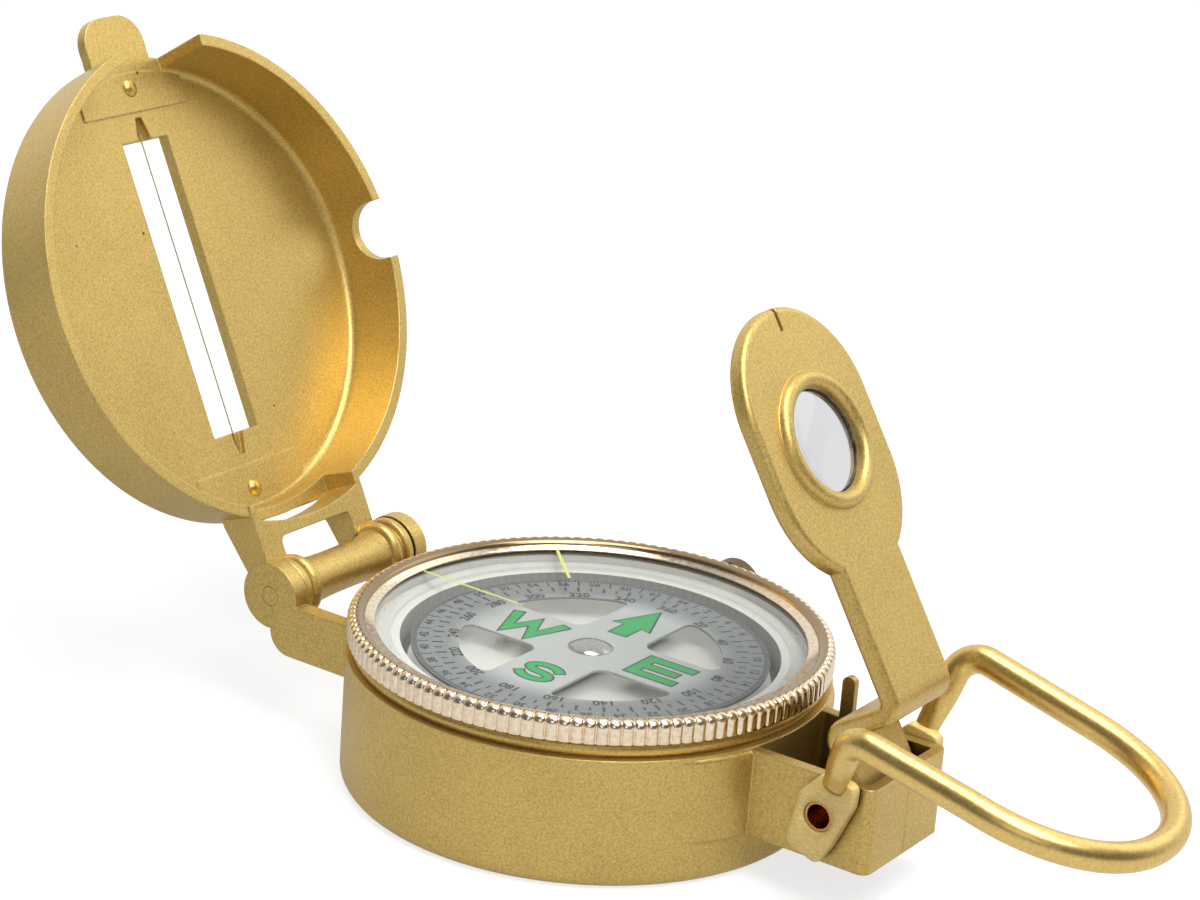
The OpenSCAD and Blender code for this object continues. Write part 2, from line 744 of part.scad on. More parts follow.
// Steel point that carries the card
module pivot_pin() {
    shaft_top = jewel_z;
    color(steel) {
        translate([0, 0, plate_top]) cylinder(h = pivot_foot_t, r = pivot_foot_r);
        translate([0, 0, plate_top]) cylinder(h = shaft_top - plate_top, r = pivot_r);
        translate([0, 0, shaft_top]) cylinder(h = pivot_tip_z - shaft_top, r1 = pivot_r, r2 = pivot_tip_r);
    }
}

// One of the card's four windows, in the first quadrant
module card_window() {
    c = window_corner_r;
    near = card_arm_w;
    outer_x = sqrt(pow(window_r_out - c, 2) - pow(near + c, 2));
    outer_a = atan2(near + c, outer_x);
    hub = near + window_hub_r;
    polygon(distinct(concat(
        arc([0, 0], window_r_out, outer_a, 90 - outer_a, 16),
        arc([near + c, outer_x], c, 90 - outer_a, 180, 4),
        arc([hub, hub], window_hub_r, 180, 270, 5),
        arc([outer_x, near + c], c, 270, 360 + outer_a, 4)
    )));
}

// Dial card with a printed ring, four arms and four windows
module card() {
    color("#c9cec9") translate([0, 0, card_z]) linear_extrude(card_t) difference() {
        circle(card_r);
        circle(stem_r + pin_clear);
        for (quarter = [0:3]) {
            rotate(90 * quarter) card_window();
        }
    }
}

// Bar magnet under the card, along the north arm
module card_magnet() {
    color("#6a6d70") translate([0, 0, magnet_z]) linear_extrude(magnet_t) difference() {
        square([magnet_w, magnet_l], center = true);
        circle(stem_r + pin_clear);
    }
}

// Turned cap that carries the jewel and shows as a dome on the card
module jewel_cap() {
    dome_ball_r = (pow(cap_r, 2) + pow(cap_dome_h, 2)) / (2 * cap_dome_h);
    color(steel) difference() {
        union() {
            translate([0, 0, stem_z]) cylinder(h = card_top - stem_z, r = stem_r);
            intersection() {
                translate([0, 0, card_top + cap_dome_h - dome_ball_r]) sphere(dome_ball_r);
                translate([0, 0, card_top]) cylinder(h = 2 * cap_dome_h, r = cap_r);
            }
        }
        translate([0, 0, stem_z - over])
            cylinder(h = jewel_z + jewel_h - stem_z + over, r = jewel_r);
    }
}

// Jewel with a cone that sits on the pivot's point
module jewel_bearing() {
    color("#a8324a") difference() {
        translate([0, 0, jewel_z]) cylinder(h = jewel_h, r = jewel_r);
        translate([0, 0, jewel_z])
            cylinder(h = jewel_cone_h, r1 = pivot_r + pivot_clear, r2 = pivot_tip_r + pivot_gap);
        translate([0, 0, jewel_z - over]) cylinder(h = over, r = pivot_r + pivot_clear);
    }
}

// Outline of the ribbed bezel, one rounded rib after another
function rib_outline() = [
    for (i = [0:rib_count - 1], step = [[-0.5, 1], [-0.36, 0.3], [-0.18, 0.06], [0, 0],
                                        [0.18, 0.06], [0.36, 0.3]])
        let (t = 360 * (i + step[0]) / rib_count, r = case_r - rib_depth * step[1])
            [r * cos(t), r * sin(t)]
];

// Ribbed ring with a sloping lip over the crystal, which turns on the collar
module bezel_ring() {
    groove_r = snap_r + snap_wire_r + snap_clear;
    color(rose_gold) difference() {
        intersection() {
            translate([0, 0, bezel_z]) linear_extrude(bezel_h) polygon(rib_outline());
            rotate_extrude() polygon([
                [0, bezel_z], [case_r + over, bezel_z],
                [case_r + over, bezel_top - bezel_chamfer - over],
                [case_r - bezel_chamfer, bezel_top], [0, bezel_top]
            ]);
        }
        rotate_extrude() polygon([
            [0, bezel_z - over], [bezel_bore_r, bezel_z - over],
            [bezel_bore_r, collar_top + bezel_gap], [bezel_pocket_r, collar_top + bezel_gap],
            [bezel_pocket_r, crystal_top], [bezel_lip_r, crystal_top],
            [bezel_lip_r, crystal_top + lip_edge_t], [bezel_mouth_r, bezel_top],
            [bezel_mouth_r, bezel_top + over], [0, bezel_top + over]
        ]);
        rotate_extrude()
            translate([bezel_bore_r - over, snap_z - snap_groove_w / 2])
                square([groove_r - bezel_bore_r + over, snap_groove_w]);
    }
}

// Flat glass in the bezel
module crystal() {
    color(clear) translate([0, 0, crystal_z]) cylinder(h = crystal_t, r = crystal_r);
}

// Open snap wire between collar and bezel
module retaining_wire() {
    color(steel) translate([0, 0, snap_z])
        rotate([0, 0, snap_wire_gap / 2])
            rotate_extrude(angle = 360 - snap_wire_gap)
                translate([snap_r, 0]) circle(snap_wire_r, $fn = 24);
}

// Screw that clamps the bezel from the side
module bezel_lock_screw() {
    shank_l = screw_gap + case_wall_t - screw_end_gap;
    color(brass) translate([screw_x, screw_y, screw_z]) rotate([-90, 0, 0]) {
        difference() {
            union() {
                cylinder(h = screw_head_t - screw_chamfer, r = screw_head_r);
                translate([0, 0, screw_head_t - screw_chamfer])
                    cylinder(h = screw_chamfer, r1 = screw_head_r, r2 = screw_head_r - screw_chamfer);
            }
            translate([-screw_head_r - over, -screw_slot_w / 2, screw_head_t - screw_slot_d])
                cube([2 * screw_head_r + 2 * over, screw_slot_w, screw_slot_d + over]);
        }
        translate([0, 0, -shank_l]) cylinder(h = shank_l, r = screw_r);
    }
}

// Outline of the cover's outer form, turned about the disc's middle
module cover_outer_profile() {
    slope = rim_draft / (cover_out_z - rim_z);
    edge_z = cover_out_z - cover_edge_r;
    edge_x = rim_out_r - slope * (edge_z - rim_z);
    polygon(concat(
        [[0, rim_z], [rim_out_r, rim_z]],
        arc([edge_x - cover_edge_r, edge_z], cover_edge_r, 0, 90),
        [[0, cover_out_z]]
    ));
}

// Outline of the hollow inside the cover
module cover_hollow_profile() {
    polygon(concat(
        [[0, rim_z - tab_step - over], [rim_in_r, rim_z - tab_step - over], [rim_in_r, rim_z]],
        arc([rim_top_r - cover_fillet_r, cover_in_z - cover_fillet_r], cover_fillet_r, 0, 90),
        [[0, cover_in_z]]
    ));
}

// Opening tab on the disc's free side
module cover_tab() {
    tip_x = cover_x + rim_out_r + tab_reach;
    root_x = cover_x + rim_top_r - cover_fillet_r;
    translate([root_x, -tab_w / 2, cover_in_z])
        linear_extrude(cover_t - tab_step) soft_rect(tip_x - root_x, tab_w, tab_corner_r);
    translate([root_x, -tab_w / 2, cover_in_z]) cube([2 * rim_t, tab_w, cover_t - tab_step]);
}

// Block with two arms that joins the disc to the hinge barrel
module hinge_block() {
    far_x = cover_x - rim_in_r + 2 * rim_t;
    difference() {
        along_y(block_w) polygon([
            [0, block_z], [far_x, block_z], [far_x, block_z + block_t],
            [cover_x - rim_in_r, block_z + block_t], [0, barrel_r]
        ]);
        translate([-window_block_r, arm_w - block_w / 2, -barrel_r])
            linear_extrude(4 * barrel_r)
                soft_rect(window_l + window_block_r, block_w - 2 * arm_w, window_block_r);
    }
}

// Turned barrel: a band, a groove and a bead at each end, and a slim waist
module hinge_barrel() {
    half = lug_gap_w / 2 - barrel_gap;
    bead_y = half - band_w - groove_l_barrel - bead_r;
    bead_crest = barrel_r - bead_drop;
    flare = [
        for (i = [0:8])
            let (y = bead_y * i / 8)
                [waist_r + (groove_r_barrel - waist_r) * pow(y / bead_y, 3), y]
    ];
    for (side = [0, 1]) {
        mirror([0, side, 0]) rotate([-90, 0, 0]) rotate_extrude() {
            polygon(concat([[0, 0]], flare, [[0, bead_y]]));
            translate([0, bead_y]) square([groove_r_barrel, half - bead_y]);
            translate([bead_crest - bead_r, bead_y]) circle(bead_r);
            translate([0, half - band_w]) square([barrel_r - band_edge_r, band_w]);
            translate([waist_r, half - band_w]) soft_rect(barrel_r - waist_r, band_w, band_edge_r);
        }
    }
}

// Slot, troughs and stud holes of the sight
module sight_cuts() {
    translate([slot_x - slot_l / 2, -slot_w / 2, cover_in_z - over])
        cube([slot_l, slot_w, cover_t + 2 * over]);
    for (end = [0, 1]) {
        translate([slot_x, 0, cover_in_z - over])
            mirror([end, 0, 0])
                linear_extrude(trough_d + over)
                    polygon([
                        [slot_l / 2 - over, -trough_w / 2],
                        [slot_l / 2 + trough_l, -trough_tip_w / 2],
                        [slot_l / 2 + trough_l, trough_tip_w / 2],
                        [slot_l / 2 - over, trough_w / 2]
                    ]);
        translate([cover_x + stud_dist * (2 * end - 1), 0, cover_in_z - land_t - over])
            cylinder(h = stud_shank_l + pin_clear + over, r = stud_shank_r + stud_clear);
    }
}

// Raised lands on the inner face, one at each end of the sight
module stud_lands() {
    intersection() {
        for (end = [-1, 1]) {
            translate([cover_x + end * (land_dist + land_l / 2), 0, cover_in_z])
                cube([land_l, land_w, 2 * land_t], center = true);
        }
        translate([cover_x, 0, cover_in_z - land_t])
            cylinder(h = 2 * land_t, r = rim_top_r - cover_fillet_r / 2);
    }
}

module cover() {
    gap_w = strip_w + 2 * shank_gap;
    notch_x = screw_x - hinge_x;
    notch_z = rim_z + notch_h - notch_r;
    color(paint_gold) on_cover() {
        difference() {
            union() {
                translate([cover_x, 0, 0]) rotate_extrude() cover_outer_profile();
                cover_tab();
                hinge_block();
            }
            translate([cover_x, 0, 0]) rotate_extrude() cover_hollow_profile();
            translate([cover_x, -gap_w / 2, block_z - over])
                cube([rim_out_r + over, gap_w, cover_in_z - block_z + over]);
            translate([notch_x, rim_out_r, notch_z]) y_bar(notch_r, rim_out_r);
            translate([notch_x - notch_r, rim_out_r / 2, rim_z - over])
                cube([2 * notch_r, rim_out_r, notch_z - rim_z + over]);
            intersection() {
                translate([cover_x, 0, block_z - over])
                    cylinder(h = relief_z - block_z + over, r = relief_r);
                translate([0, -relief_w / 2, block_z - over])
                    cube([cover_x, relief_w, relief_z - block_z + over]);
            }
            y_bar(groove_r_barrel, block_w + over);
            sight_cuts();
        }
        difference() {
            stud_lands();
            sight_cuts();
        }
        difference() {
            hinge_barrel();
            y_bar(hinge_pin_r + pin_clear, lug_gap_w);
        }
    }
}

// Hairline wire across the sighting slot, lying in the two troughs
module sighting_wire() {
    wire_l = slot_l + 2 * (trough_l - wire_end_gap);
    color(steel) on_cover()
        translate([slot_x, 0, cover_in_z + trough_d - sight_wire_r])
            rotate([0, 90, 0]) cylinder(h = wire_l, r = sight_wire_r, center = true, $fn = 24);
}

// Two round-headed studs on the lands
module wire_studs() {
    ball_r = (pow(stud_r, 2) + pow(stud_h, 2)) / (2 * stud_h);
    color(brass) on_cover() for (end = [-1, 1]) {
        translate([cover_x + end * stud_dist, 0, cover_in_z - land_t]) {
            cylinder(h = stud_shank_l, r = stud_shank_r, $fn = 32);
            intersection() {
                translate([0, 0, ball_r - stud_h]) sphere(ball_r);
                translate([0, 0, -stud_h]) cylinder(h = stud_h, r = stud_r);
            }
        }
    }
}

// Solid pin of the cover hinge
module hinge_pin() {
    color(brass) translate([hinge_x, 0, hinge_z]) y_bar(hinge_pin_r, lug_gap_w + 2 * lug_t);
}

// Cross-section of the bracket's strip, thickness along x and width along y
module strip_section(w = strip_w) {
    translate([0, -w / 2]) soft_rect(strip_t, w, strip_edge_r);
}

// Round end of the bracket's head, with the strip's rounded edge
module head_end(x) {
    translate([x, 0, plate_z]) rotate_extrude() {
        square([head_r - strip_edge_r, strip_t]);
        translate([0, strip_edge_r]) square([head_r, strip_t - 2 * strip_edge_r]);
        for (z = [strip_edge_r, strip_t - strip_edge_r]) {
            translate([head_r - strip_edge_r, z]) circle(strip_edge_r);
        }
    }
}

// A straight stretch of the flat plate, from x0 to x1
module plate_run(x0, x1, w) {
    translate([x0, 0, plate_z + strip_t]) rotate([0, 90, 0])
        linear_extrude(x1 - x0) strip_section(w);
}

module lens_bracket() {
    tongue_top = tongue_z + strip_t;
    bend_x0 = foot_out_x + bend_out_r;
    turn_x = foot_out_x - bend_r;
    head_x0 = lens_x - head_l / 2;
    head_x1 = lens_x + head_l / 2;
    color(paint_gold) on_bracket() difference() {
        union() {
            head_end(head_x0);
            head_end(head_x1);
            plate_run(head_x0, head_x1, 2 * head_r);
            plate_run(bend_x0, head_x0, strip_w);
            translate([bend_x0, 0, plate_out_z - bend_out_r])
                rotate([90, 0, 0]) rotate([0, 0, 90]) rotate_extrude(angle = 90)
                    translate([bend_r, 0]) strip_section();
            translate([foot_out_x, 0, tongue_top + bend_r])
                linear_extrude(plate_out_z - bend_out_r - tongue_top - bend_r) strip_section();
            translate([turn_x, 0, tongue_top + bend_r])
                rotate([90, 0, 0]) rotate([0, 0, -90]) rotate_extrude(angle = 90)
                    translate([bend_r, 0]) strip_section();
            translate([0, 0, tongue_top]) rotate([0, 90, 0])
                linear_extrude(turn_x) strip_section();
            translate([-heel_r, -strip_w / 2, 0]) intersection() {
                translate([heel_r, strip_w / 2, 0]) y_bar(heel_r, strip_w - 2 * knuckle_inset);
                cube([heel_r + knuckle_r, strip_w, heel_r]);
            }
            y_bar(knuckle_r, strip_w - 2 * knuckle_inset);
            translate([lens_x, 0, plate_out_z]) rotate_extrude() translate([ring_mid_r, 0])
                circle(lens_ring_r, $fn = 48);
        }
        translate([lens_x, 0, plate_z - over])
            cylinder(h = lens_seat_z - plate_z + over, r = lens_r + lens_clear);
        translate([lens_x, 0, plate_z])
            cylinder(h = strip_t + 2 * lens_ring_r, r = lens_r - lens_lip_w);
        translate([head_x1 + head_r - groove_l, -groove_w / 2, plate_out_z - groove_d])
            cube([groove_l + over, groove_w, groove_d + over]);
        y_bar(pin_r + pin_clear, strip_w + over);
    }
}

// Lens with two curved faces inside a flat rim, held against the lip
module lens() {
    cap_r = lens_r - max(retainer_w, lens_lip_w);
    bulge = lens_curve_r - sqrt(pow(lens_curve_r, 2) - pow(cap_r, 2));
    color(clear) on_bracket() translate([lens_x, 0, lens_z]) {
        cylinder(h = lens_edge_t, r = lens_r);
        intersection() {
            translate([0, 0, -bulge]) cylinder(h = lens_edge_t + 2 * bulge, r = cap_r);
            translate([0, 0, lens_edge_t + bulge - lens_curve_r]) sphere(lens_curve_r, $fn = 200);
            translate([0, 0, lens_curve_r - bulge]) sphere(lens_curve_r, $fn = 200);
        }
    }
}

// Split ring that keeps the lens in the head
module lens_retainer() {
    color(steel) on_bracket() translate([lens_x, 0, plate_z])
        rotate([0, 0, retainer_gap / 2])
            rotate_extrude(angle = 360 - retainer_gap)
                translate([lens_r - retainer_w, 0])
                    square([retainer_w, lens_z - plate_z]);
}

// Hollow pin through box, bracket and thumb ring
module bracket_pin() {
    color(brass) translate([pin_x, 0, pin_z]) difference() {
        y_bar(pin_r, pin_l);
        y_bar(pin_r - pin_wall_t, pin_l + 2 * over);
    }
}

// Middles of the paddle's rounded corners about the pin, in x and z
paddle_corners = [
    [-2.6, -3.4], [0, -4.3], [0.9, -2.7], [3, 2.3], [3.1, 3.8], [0.6, 4.2], [-1.5, 1.9]
];

// Outline of a flattened paddle about the pin, in x and z
module paddle_outline() {
    count = len(paddle_corners);
    for (i = [0:count - 1]) {
        corner = paddle_corners[i];
        run = paddle_corners[(i + 1) % count] - corner;
        translate(corner) circle(paddle_corner_r);
        translate(corner) rotate(atan2(run[1], run[0]))
            translate([0, -paddle_corner_r]) square([norm(run), 2 * paddle_corner_r]);
    }
    polygon(paddle_corners);
}

// Stations of the ring's wire on one side, -1 or 1, from the paddle to the crown's tip
function ring_half(side) =
    let (
        root = [root_x, side * (paddle_y + wire_r), root_z],
        nominal = [bend_x, side * leg_y, bend_z],
        corner = side < 0 ? nominal - [0, 0, near_bend_drop]
                          : nominal + [-far_bend_shift, 0, far_bend_lift],
        fall = [cos(ring_slope), 0, -sin(ring_slope)],
        crown_start = nominal + leg_l * fall,
        rise = unit(corner - root),
        run = unit(crown_start - corner),
        turn = acos(rise * run),
        inward = unit(run - (rise * run) * rise),
        bend_mid = corner - ring_bend_r * tan(turn / 2) * rise + ring_bend_r * inward,
        power = 2 / crown_power
    )
        concat(
            [for (t = [10, 35, 60, 90]) [root - wire_r * cos(t) * rise, wire_r * sin(t)]],
            [for (i = [0:10])
                let (t = turn * i / 10)
                    [bend_mid + ring_bend_r * (sin(t) * rise - cos(t) * inward), wire_r]],
            [for (i = [0:18])
                let (t = 5 * i, x = crown_l * pow(sin(t), power), y = leg_y * pow(cos(t), power))
                    [crown_start + x * fall + side * [0, y - leg_y, 0], wire_r]]
        );

// Wire ring for the thumb, with flattened ends on the pin
module thumb_ring() {
    near_half = ring_half(-1);
    far_half = ring_half(1);
    last = len(near_half) - 1;
    back = [for (i = [1:last]) near_half[last - i]];
    color(brass) translate([pin_x, 0, pin_z]) {
        wire_sweep(concat(far_half, back), [sin(ring_slope), 0, cos(ring_slope)]);
        for (side = [-1, 1]) {
            translate([0, side * (paddle_y + paddle_t / 2), 0]) along_y(paddle_t) difference() {
                paddle_outline();
                circle(pin_r + pin_clear);
            }
        }
    }
}

case();
capsule_cushion();
capsule_base();
capsule_lid();
pivot_pin();
card();
card_magnet();
jewel_cap();
jewel_bearing();
bezel_ring();
crystal();
retaining_wire();
bezel_lock_screw();
cover();
sighting_wire();
wire_studs();
hinge_pin();
lens_bracket();
lens();
lens_retainer();
bracket_pin();
thumb_ring();
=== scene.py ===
"""Lensatic compass: finishes, ribbed bezel, thumb ring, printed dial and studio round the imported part.

Every size is in millimetres in the part's own frame: the origin is the middle of the flat
underside, Z is up and X runs from the cover's hinge to the thumb ring. MM turns them into metres.
"""

from __future__ import annotations

import logging
import math
from dataclasses import dataclass, replace
from enum import Enum

import bpy
import numpy as np
from mathutils import Matrix, Vector

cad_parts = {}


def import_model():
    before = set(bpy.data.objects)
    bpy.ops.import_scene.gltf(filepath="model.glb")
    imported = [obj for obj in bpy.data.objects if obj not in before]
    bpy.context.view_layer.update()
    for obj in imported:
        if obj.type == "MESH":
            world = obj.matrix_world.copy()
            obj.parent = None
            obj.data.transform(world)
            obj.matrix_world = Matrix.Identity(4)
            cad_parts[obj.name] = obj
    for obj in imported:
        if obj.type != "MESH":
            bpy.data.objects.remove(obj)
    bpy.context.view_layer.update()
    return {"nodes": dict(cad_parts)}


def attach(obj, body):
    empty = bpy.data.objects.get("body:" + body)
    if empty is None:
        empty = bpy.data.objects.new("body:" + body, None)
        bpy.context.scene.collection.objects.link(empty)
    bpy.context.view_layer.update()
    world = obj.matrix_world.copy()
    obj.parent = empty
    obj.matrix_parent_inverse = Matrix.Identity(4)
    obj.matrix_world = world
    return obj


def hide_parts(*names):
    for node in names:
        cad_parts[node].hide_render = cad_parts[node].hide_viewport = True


MM = 0.001
THINNEST_SOLID = 0.05
LOG = logging.getLogger("compass")
Colour = tuple[float, float, float]
Shape = tuple[np.ndarray, np.ndarray]
Looks = dict[str, bpy.types.Material]


class Body(Enum):
    """The moving bodies of the compass that scene.py adds pieces to."""

    CASE = "case_body"
    CARD = "card_body"
    BEZEL = "bezel_body"
    RING = "ring_body"


class Graph:
    """Places and links the nodes of one shader tree."""

    def __init__(self, tree: bpy.types.NodeTree) -> None:
        """Keeps the tree that nodes are added to."""
        self.tree = tree

    def feed(self, node: bpy.types.Node, inputs: dict) -> None:
        """Sets or links inputs of a node.

        Args:
            node: the node.
            inputs: values or sockets by input name or number.
        """
        for key, value in inputs.items():
            if isinstance(value, bpy.types.NodeSocket):
                self.tree.links.new(value, node.inputs[key])
            else:
                node.inputs[key].default_value = value

    def add(self, kind: str, inputs: dict | None = None, **settings: object) -> bpy.types.Node:
        """Adds one node.

        Args:
            kind: the node's type, without the ShaderNode in front.
            inputs: values or sockets by input name or number.
            settings: properties of the node itself.

        Returns:
            The new node.
        """
        node = self.tree.nodes.new("ShaderNode" + kind)
        for key, value in settings.items():
            setattr(node, key, value)
        self.feed(node, inputs or {})
        return node

    def group(self, tree: bpy.types.NodeTree, **inputs: float) -> bpy.types.NodeOutputs:
        """The outputs of a shared effect with the given input values."""
        return self.add("Group", inputs, node_tree=tree).outputs

    def place(self) -> bpy.types.NodeSocket:
        """The point's place in the object's own coordinates."""
        return self.add("TexCoord").outputs["Object"]

    def noise(self, place: bpy.types.NodeSocket, scale: object, detail: float = 2.0,
              roughness: float = 0.5) -> bpy.types.NodeSocket:
        """The value of a noise texture at a place."""
        inputs = {"Vector": place, "Scale": scale, "Detail": detail, "Roughness": roughness}
        return self.add("TexNoise", inputs).outputs[0]

    def math(self, operation: str, *values: object, clamp: bool = False) -> bpy.types.NodeSocket:
        """The result of one Math node, kept between 0 and 1 if clamp is True."""
        node = self.add("Math", dict(enumerate(values)), operation=operation, use_clamp=clamp)
        return node.outputs[0]

    def vector(self, operation: str, *values: object) -> bpy.types.NodeOutputs:
        """The outputs, Vector and Value, of one Vector Math node."""
        return self.add("VectorMath", dict(enumerate(values)), operation=operation).outputs

    def remap(self, value: object, low: float, high: float, to_low: float = 0.0,
              to_high: float = 1.0) -> bpy.types.NodeSocket:
        """Maps a value from the range low to high to another range, with soft ends."""
        inputs = {0: value, 1: low, 2: high, 3: to_low, 4: to_high}
        return self.add("MapRange", inputs, interpolation_type="SMOOTHSTEP").outputs[0]

    def blend(self, share: object, first: object, second: object) -> bpy.types.NodeSocket:
        """Blends two colours.

        Args:
            share: how much of the second colour, from 0 to 1.
            first: the first colour, a triple or a socket.
            second: the second colour, a triple or a socket.

        Returns:
            The colour socket.
        """
        colours = [c if isinstance(c, bpy.types.NodeSocket) else (*c, 1.0) for c in (first, second)]
        node = self.add("Mix", {0: share, 6: colours[0], 7: colours[1]}, data_type="RGBA")
        return node.outputs[2]


def effect_group(name: str, inputs: dict[str, float],
                 outputs: dict[str, str]) -> tuple[Graph, dict, bpy.types.Node]:
    """Starts a shared shader effect with named sockets.

    Args:
        name: name of the node group.
        inputs: its number inputs with their usual values.
        outputs: its outputs with the kind of each, Float or Vector.

    Returns:
        The group's graph, its input sockets by name and its output node.
    """
    tree = bpy.data.node_groups.new(name, "ShaderNodeTree")
    for key, value in inputs.items():
        socket = tree.interface.new_socket(key, in_out="INPUT", socket_type="NodeSocketFloat")
        socket.default_value = value
    for key, kind in outputs.items():
        tree.interface.new_socket(key, in_out="OUTPUT", socket_type="NodeSocket" + kind)
    source = tree.nodes.new("NodeGroupInput")
    return Graph(tree), {k: source.outputs[k] for k in inputs}, tree.nodes.new("NodeGroupOutput")


class Effects:
    """The shader effects that several finishes share, each built once."""

    def __init__(self) -> None:
        """Builds the five effects."""
        for make in (self._grain, self._edges, self._pits, self._recess, self._band):
            make()

    def _grain(self) -> None:
        """Fine grain with wide soft clouds in it."""
        contrast, cloud_share = 2.4, 0.5
        g, given, out = effect_group("metal_grain", {"Scale": 5000.0, "Clouds": 90.0},
                                     {"Tone": "Float", "Height": "Float"})
        place = g.place()
        fine = g.noise(place, given["Scale"], detail=3.0, roughness=0.65)
        wide = g.noise(place, given["Clouds"])
        spread = g.math("MULTIPLY_ADD", fine, contrast, (1 - contrast) / 2)
        clouds = g.math("MULTIPLY_ADD", wide, cloud_share, -cloud_share / 2)
        g.feed(out, {"Tone": g.math("ADD", spread, clouds, clamp=True), "Height": fine})
        self.grain = g.tree

    def _edges(self) -> None:
        """Rounds the look of sharp edges and marks where they have rubbed."""
        flat_cosine, worn_cosine, patches = 0.995, 0.86, (0.3, 0.6)
        g, given, out = effect_group("edge_rub", {"Radius": 0.0003, "Scale": 600.0},
                                     {"Mask": "Float", "Normal": "Vector"})
        round_off = g.add("Bevel", {"Radius": given["Radius"]}, samples=4).outputs[0]
        plain = g.add("NewGeometry").outputs["Normal"]
        edge = g.remap(g.vector("DOT_PRODUCT", round_off, plain)["Value"], flat_cosine, worn_cosine)
        break_up = g.remap(g.noise(g.place(), given["Scale"], detail=3.0), *patches)
        g.feed(out, {"Mask": g.math("MULTIPLY", edge, break_up), "Normal": round_off})
        self.edges = g.tree

    def _pits(self) -> None:
        """Small scattered pits, as in paint over a die casting."""
        warp, warp_scale, bare_share = 0.6 * MM, 900.0, 0.80
        g, given, out = effect_group("paint_pits", {"Scale": 260.0, "Size": 0.12}, {"Mask": "Float"})
        place = g.place()
        shift = g.add("TexNoise", {"Vector": place, "Scale": warp_scale}).outputs["Color"]
        moved = g.vector("MULTIPLY_ADD", shift, (warp, warp, warp), place)["Vector"]
        cells = g.add("TexVoronoi", {"Vector": moved, "Scale": given["Scale"]}).outputs
        draw = g.add("SeparateColor", {0: cells["Color"]}).outputs[0]
        near = g.math("LESS_THAN", cells["Distance"], given["Size"])
        g.feed(out, {"Mask": g.math("MULTIPLY", near, g.math("GREATER_THAN", draw, bare_share))})
        self.pits = g.tree

    def _recess(self) -> None:
        """Marks corners and hollows by ambient occlusion, for the painted shade laid there."""
        unshaded_ao, shaded_ao = 0.66, 0.28
        g, given, out = effect_group("recess_shade", {"Reach": 0.002}, {"Mask": "Float"})
        open_share = g.add("AmbientOcclusion", {"Distance": given["Reach"]}, samples=4).outputs["AO"]
        g.feed(out, {"Mask": g.remap(open_share, unshaded_ao, shaded_ao)})
        self.recess = g.tree

    def _band(self) -> None:
        """Marks what lies between two distances from the object's upright axis."""
        g, given, out = effect_group("radial_band", {"Start": 0.0, "End": 1.0, "Soft": 0.0003},
                                     {"Mask": "Float"})
        flat = g.vector("MULTIPLY", g.place(), (1.0, 1.0, 0.0))["Vector"]
        radius = g.vector("LENGTH", flat)["Value"]
        rise = g.math("DIVIDE", g.math("SUBTRACT", radius, given["Start"]), given["Soft"], clamp=True)
        fall = g.math("DIVIDE", g.math("SUBTRACT", given["End"], radius), given["Soft"], clamp=True)
        g.feed(out, {"Mask": g.math("MULTIPLY", rise, fall)})
        self.band = g.tree


def principled(name: str) -> tuple[bpy.types.Material, Graph, bpy.types.Node]:
    """A new material with its Principled shader.

    Args:
        name: name of the material.

    Returns:
        The material, its graph and the shader node.
    """
    material = bpy.data.materials.new(name)
    material.use_nodes = True
    return material, Graph(material.node_tree), material.node_tree.nodes["Principled BSDF"]


def let_light_through(material: bpy.types.Material, g: Graph, shader: bpy.types.Node, tint: Colour,
                      share: float) -> None:
    """Lets part of the lamps' and the surroundings' light pass a surface, as clear or thin plastic does.

    Args:
        material: the material.
        g: its graph.
        shader: its shader, which stays what the camera sees.
        tint: colour of the light that passes.
        share: how much of it passes, from 0 to 1.
    """
    clear = g.add("BsdfTransparent", {"Color": (*tint, 1.0)}).outputs[0]
    path = g.add("LightPath").outputs
    passing = g.math("MULTIPLY", g.math("MAXIMUM", path["Is Shadow Ray"], path["Is Diffuse Ray"]), share)
    both = g.add("MixShader", {0: passing, 1: shader.outputs[0], 2: clear}).outputs[0]
    g.feed(material.node_tree.nodes["Material Output"], {"Surface": both})


@dataclass(frozen=True)
class Band:
    """A ring-shaped part of a surface about the upright axis, with another colour: the card's own tone,
    or painted shade where the ring lies in shadow.
    """

    start: float
    end: float
    soft: float
    tone: Colour


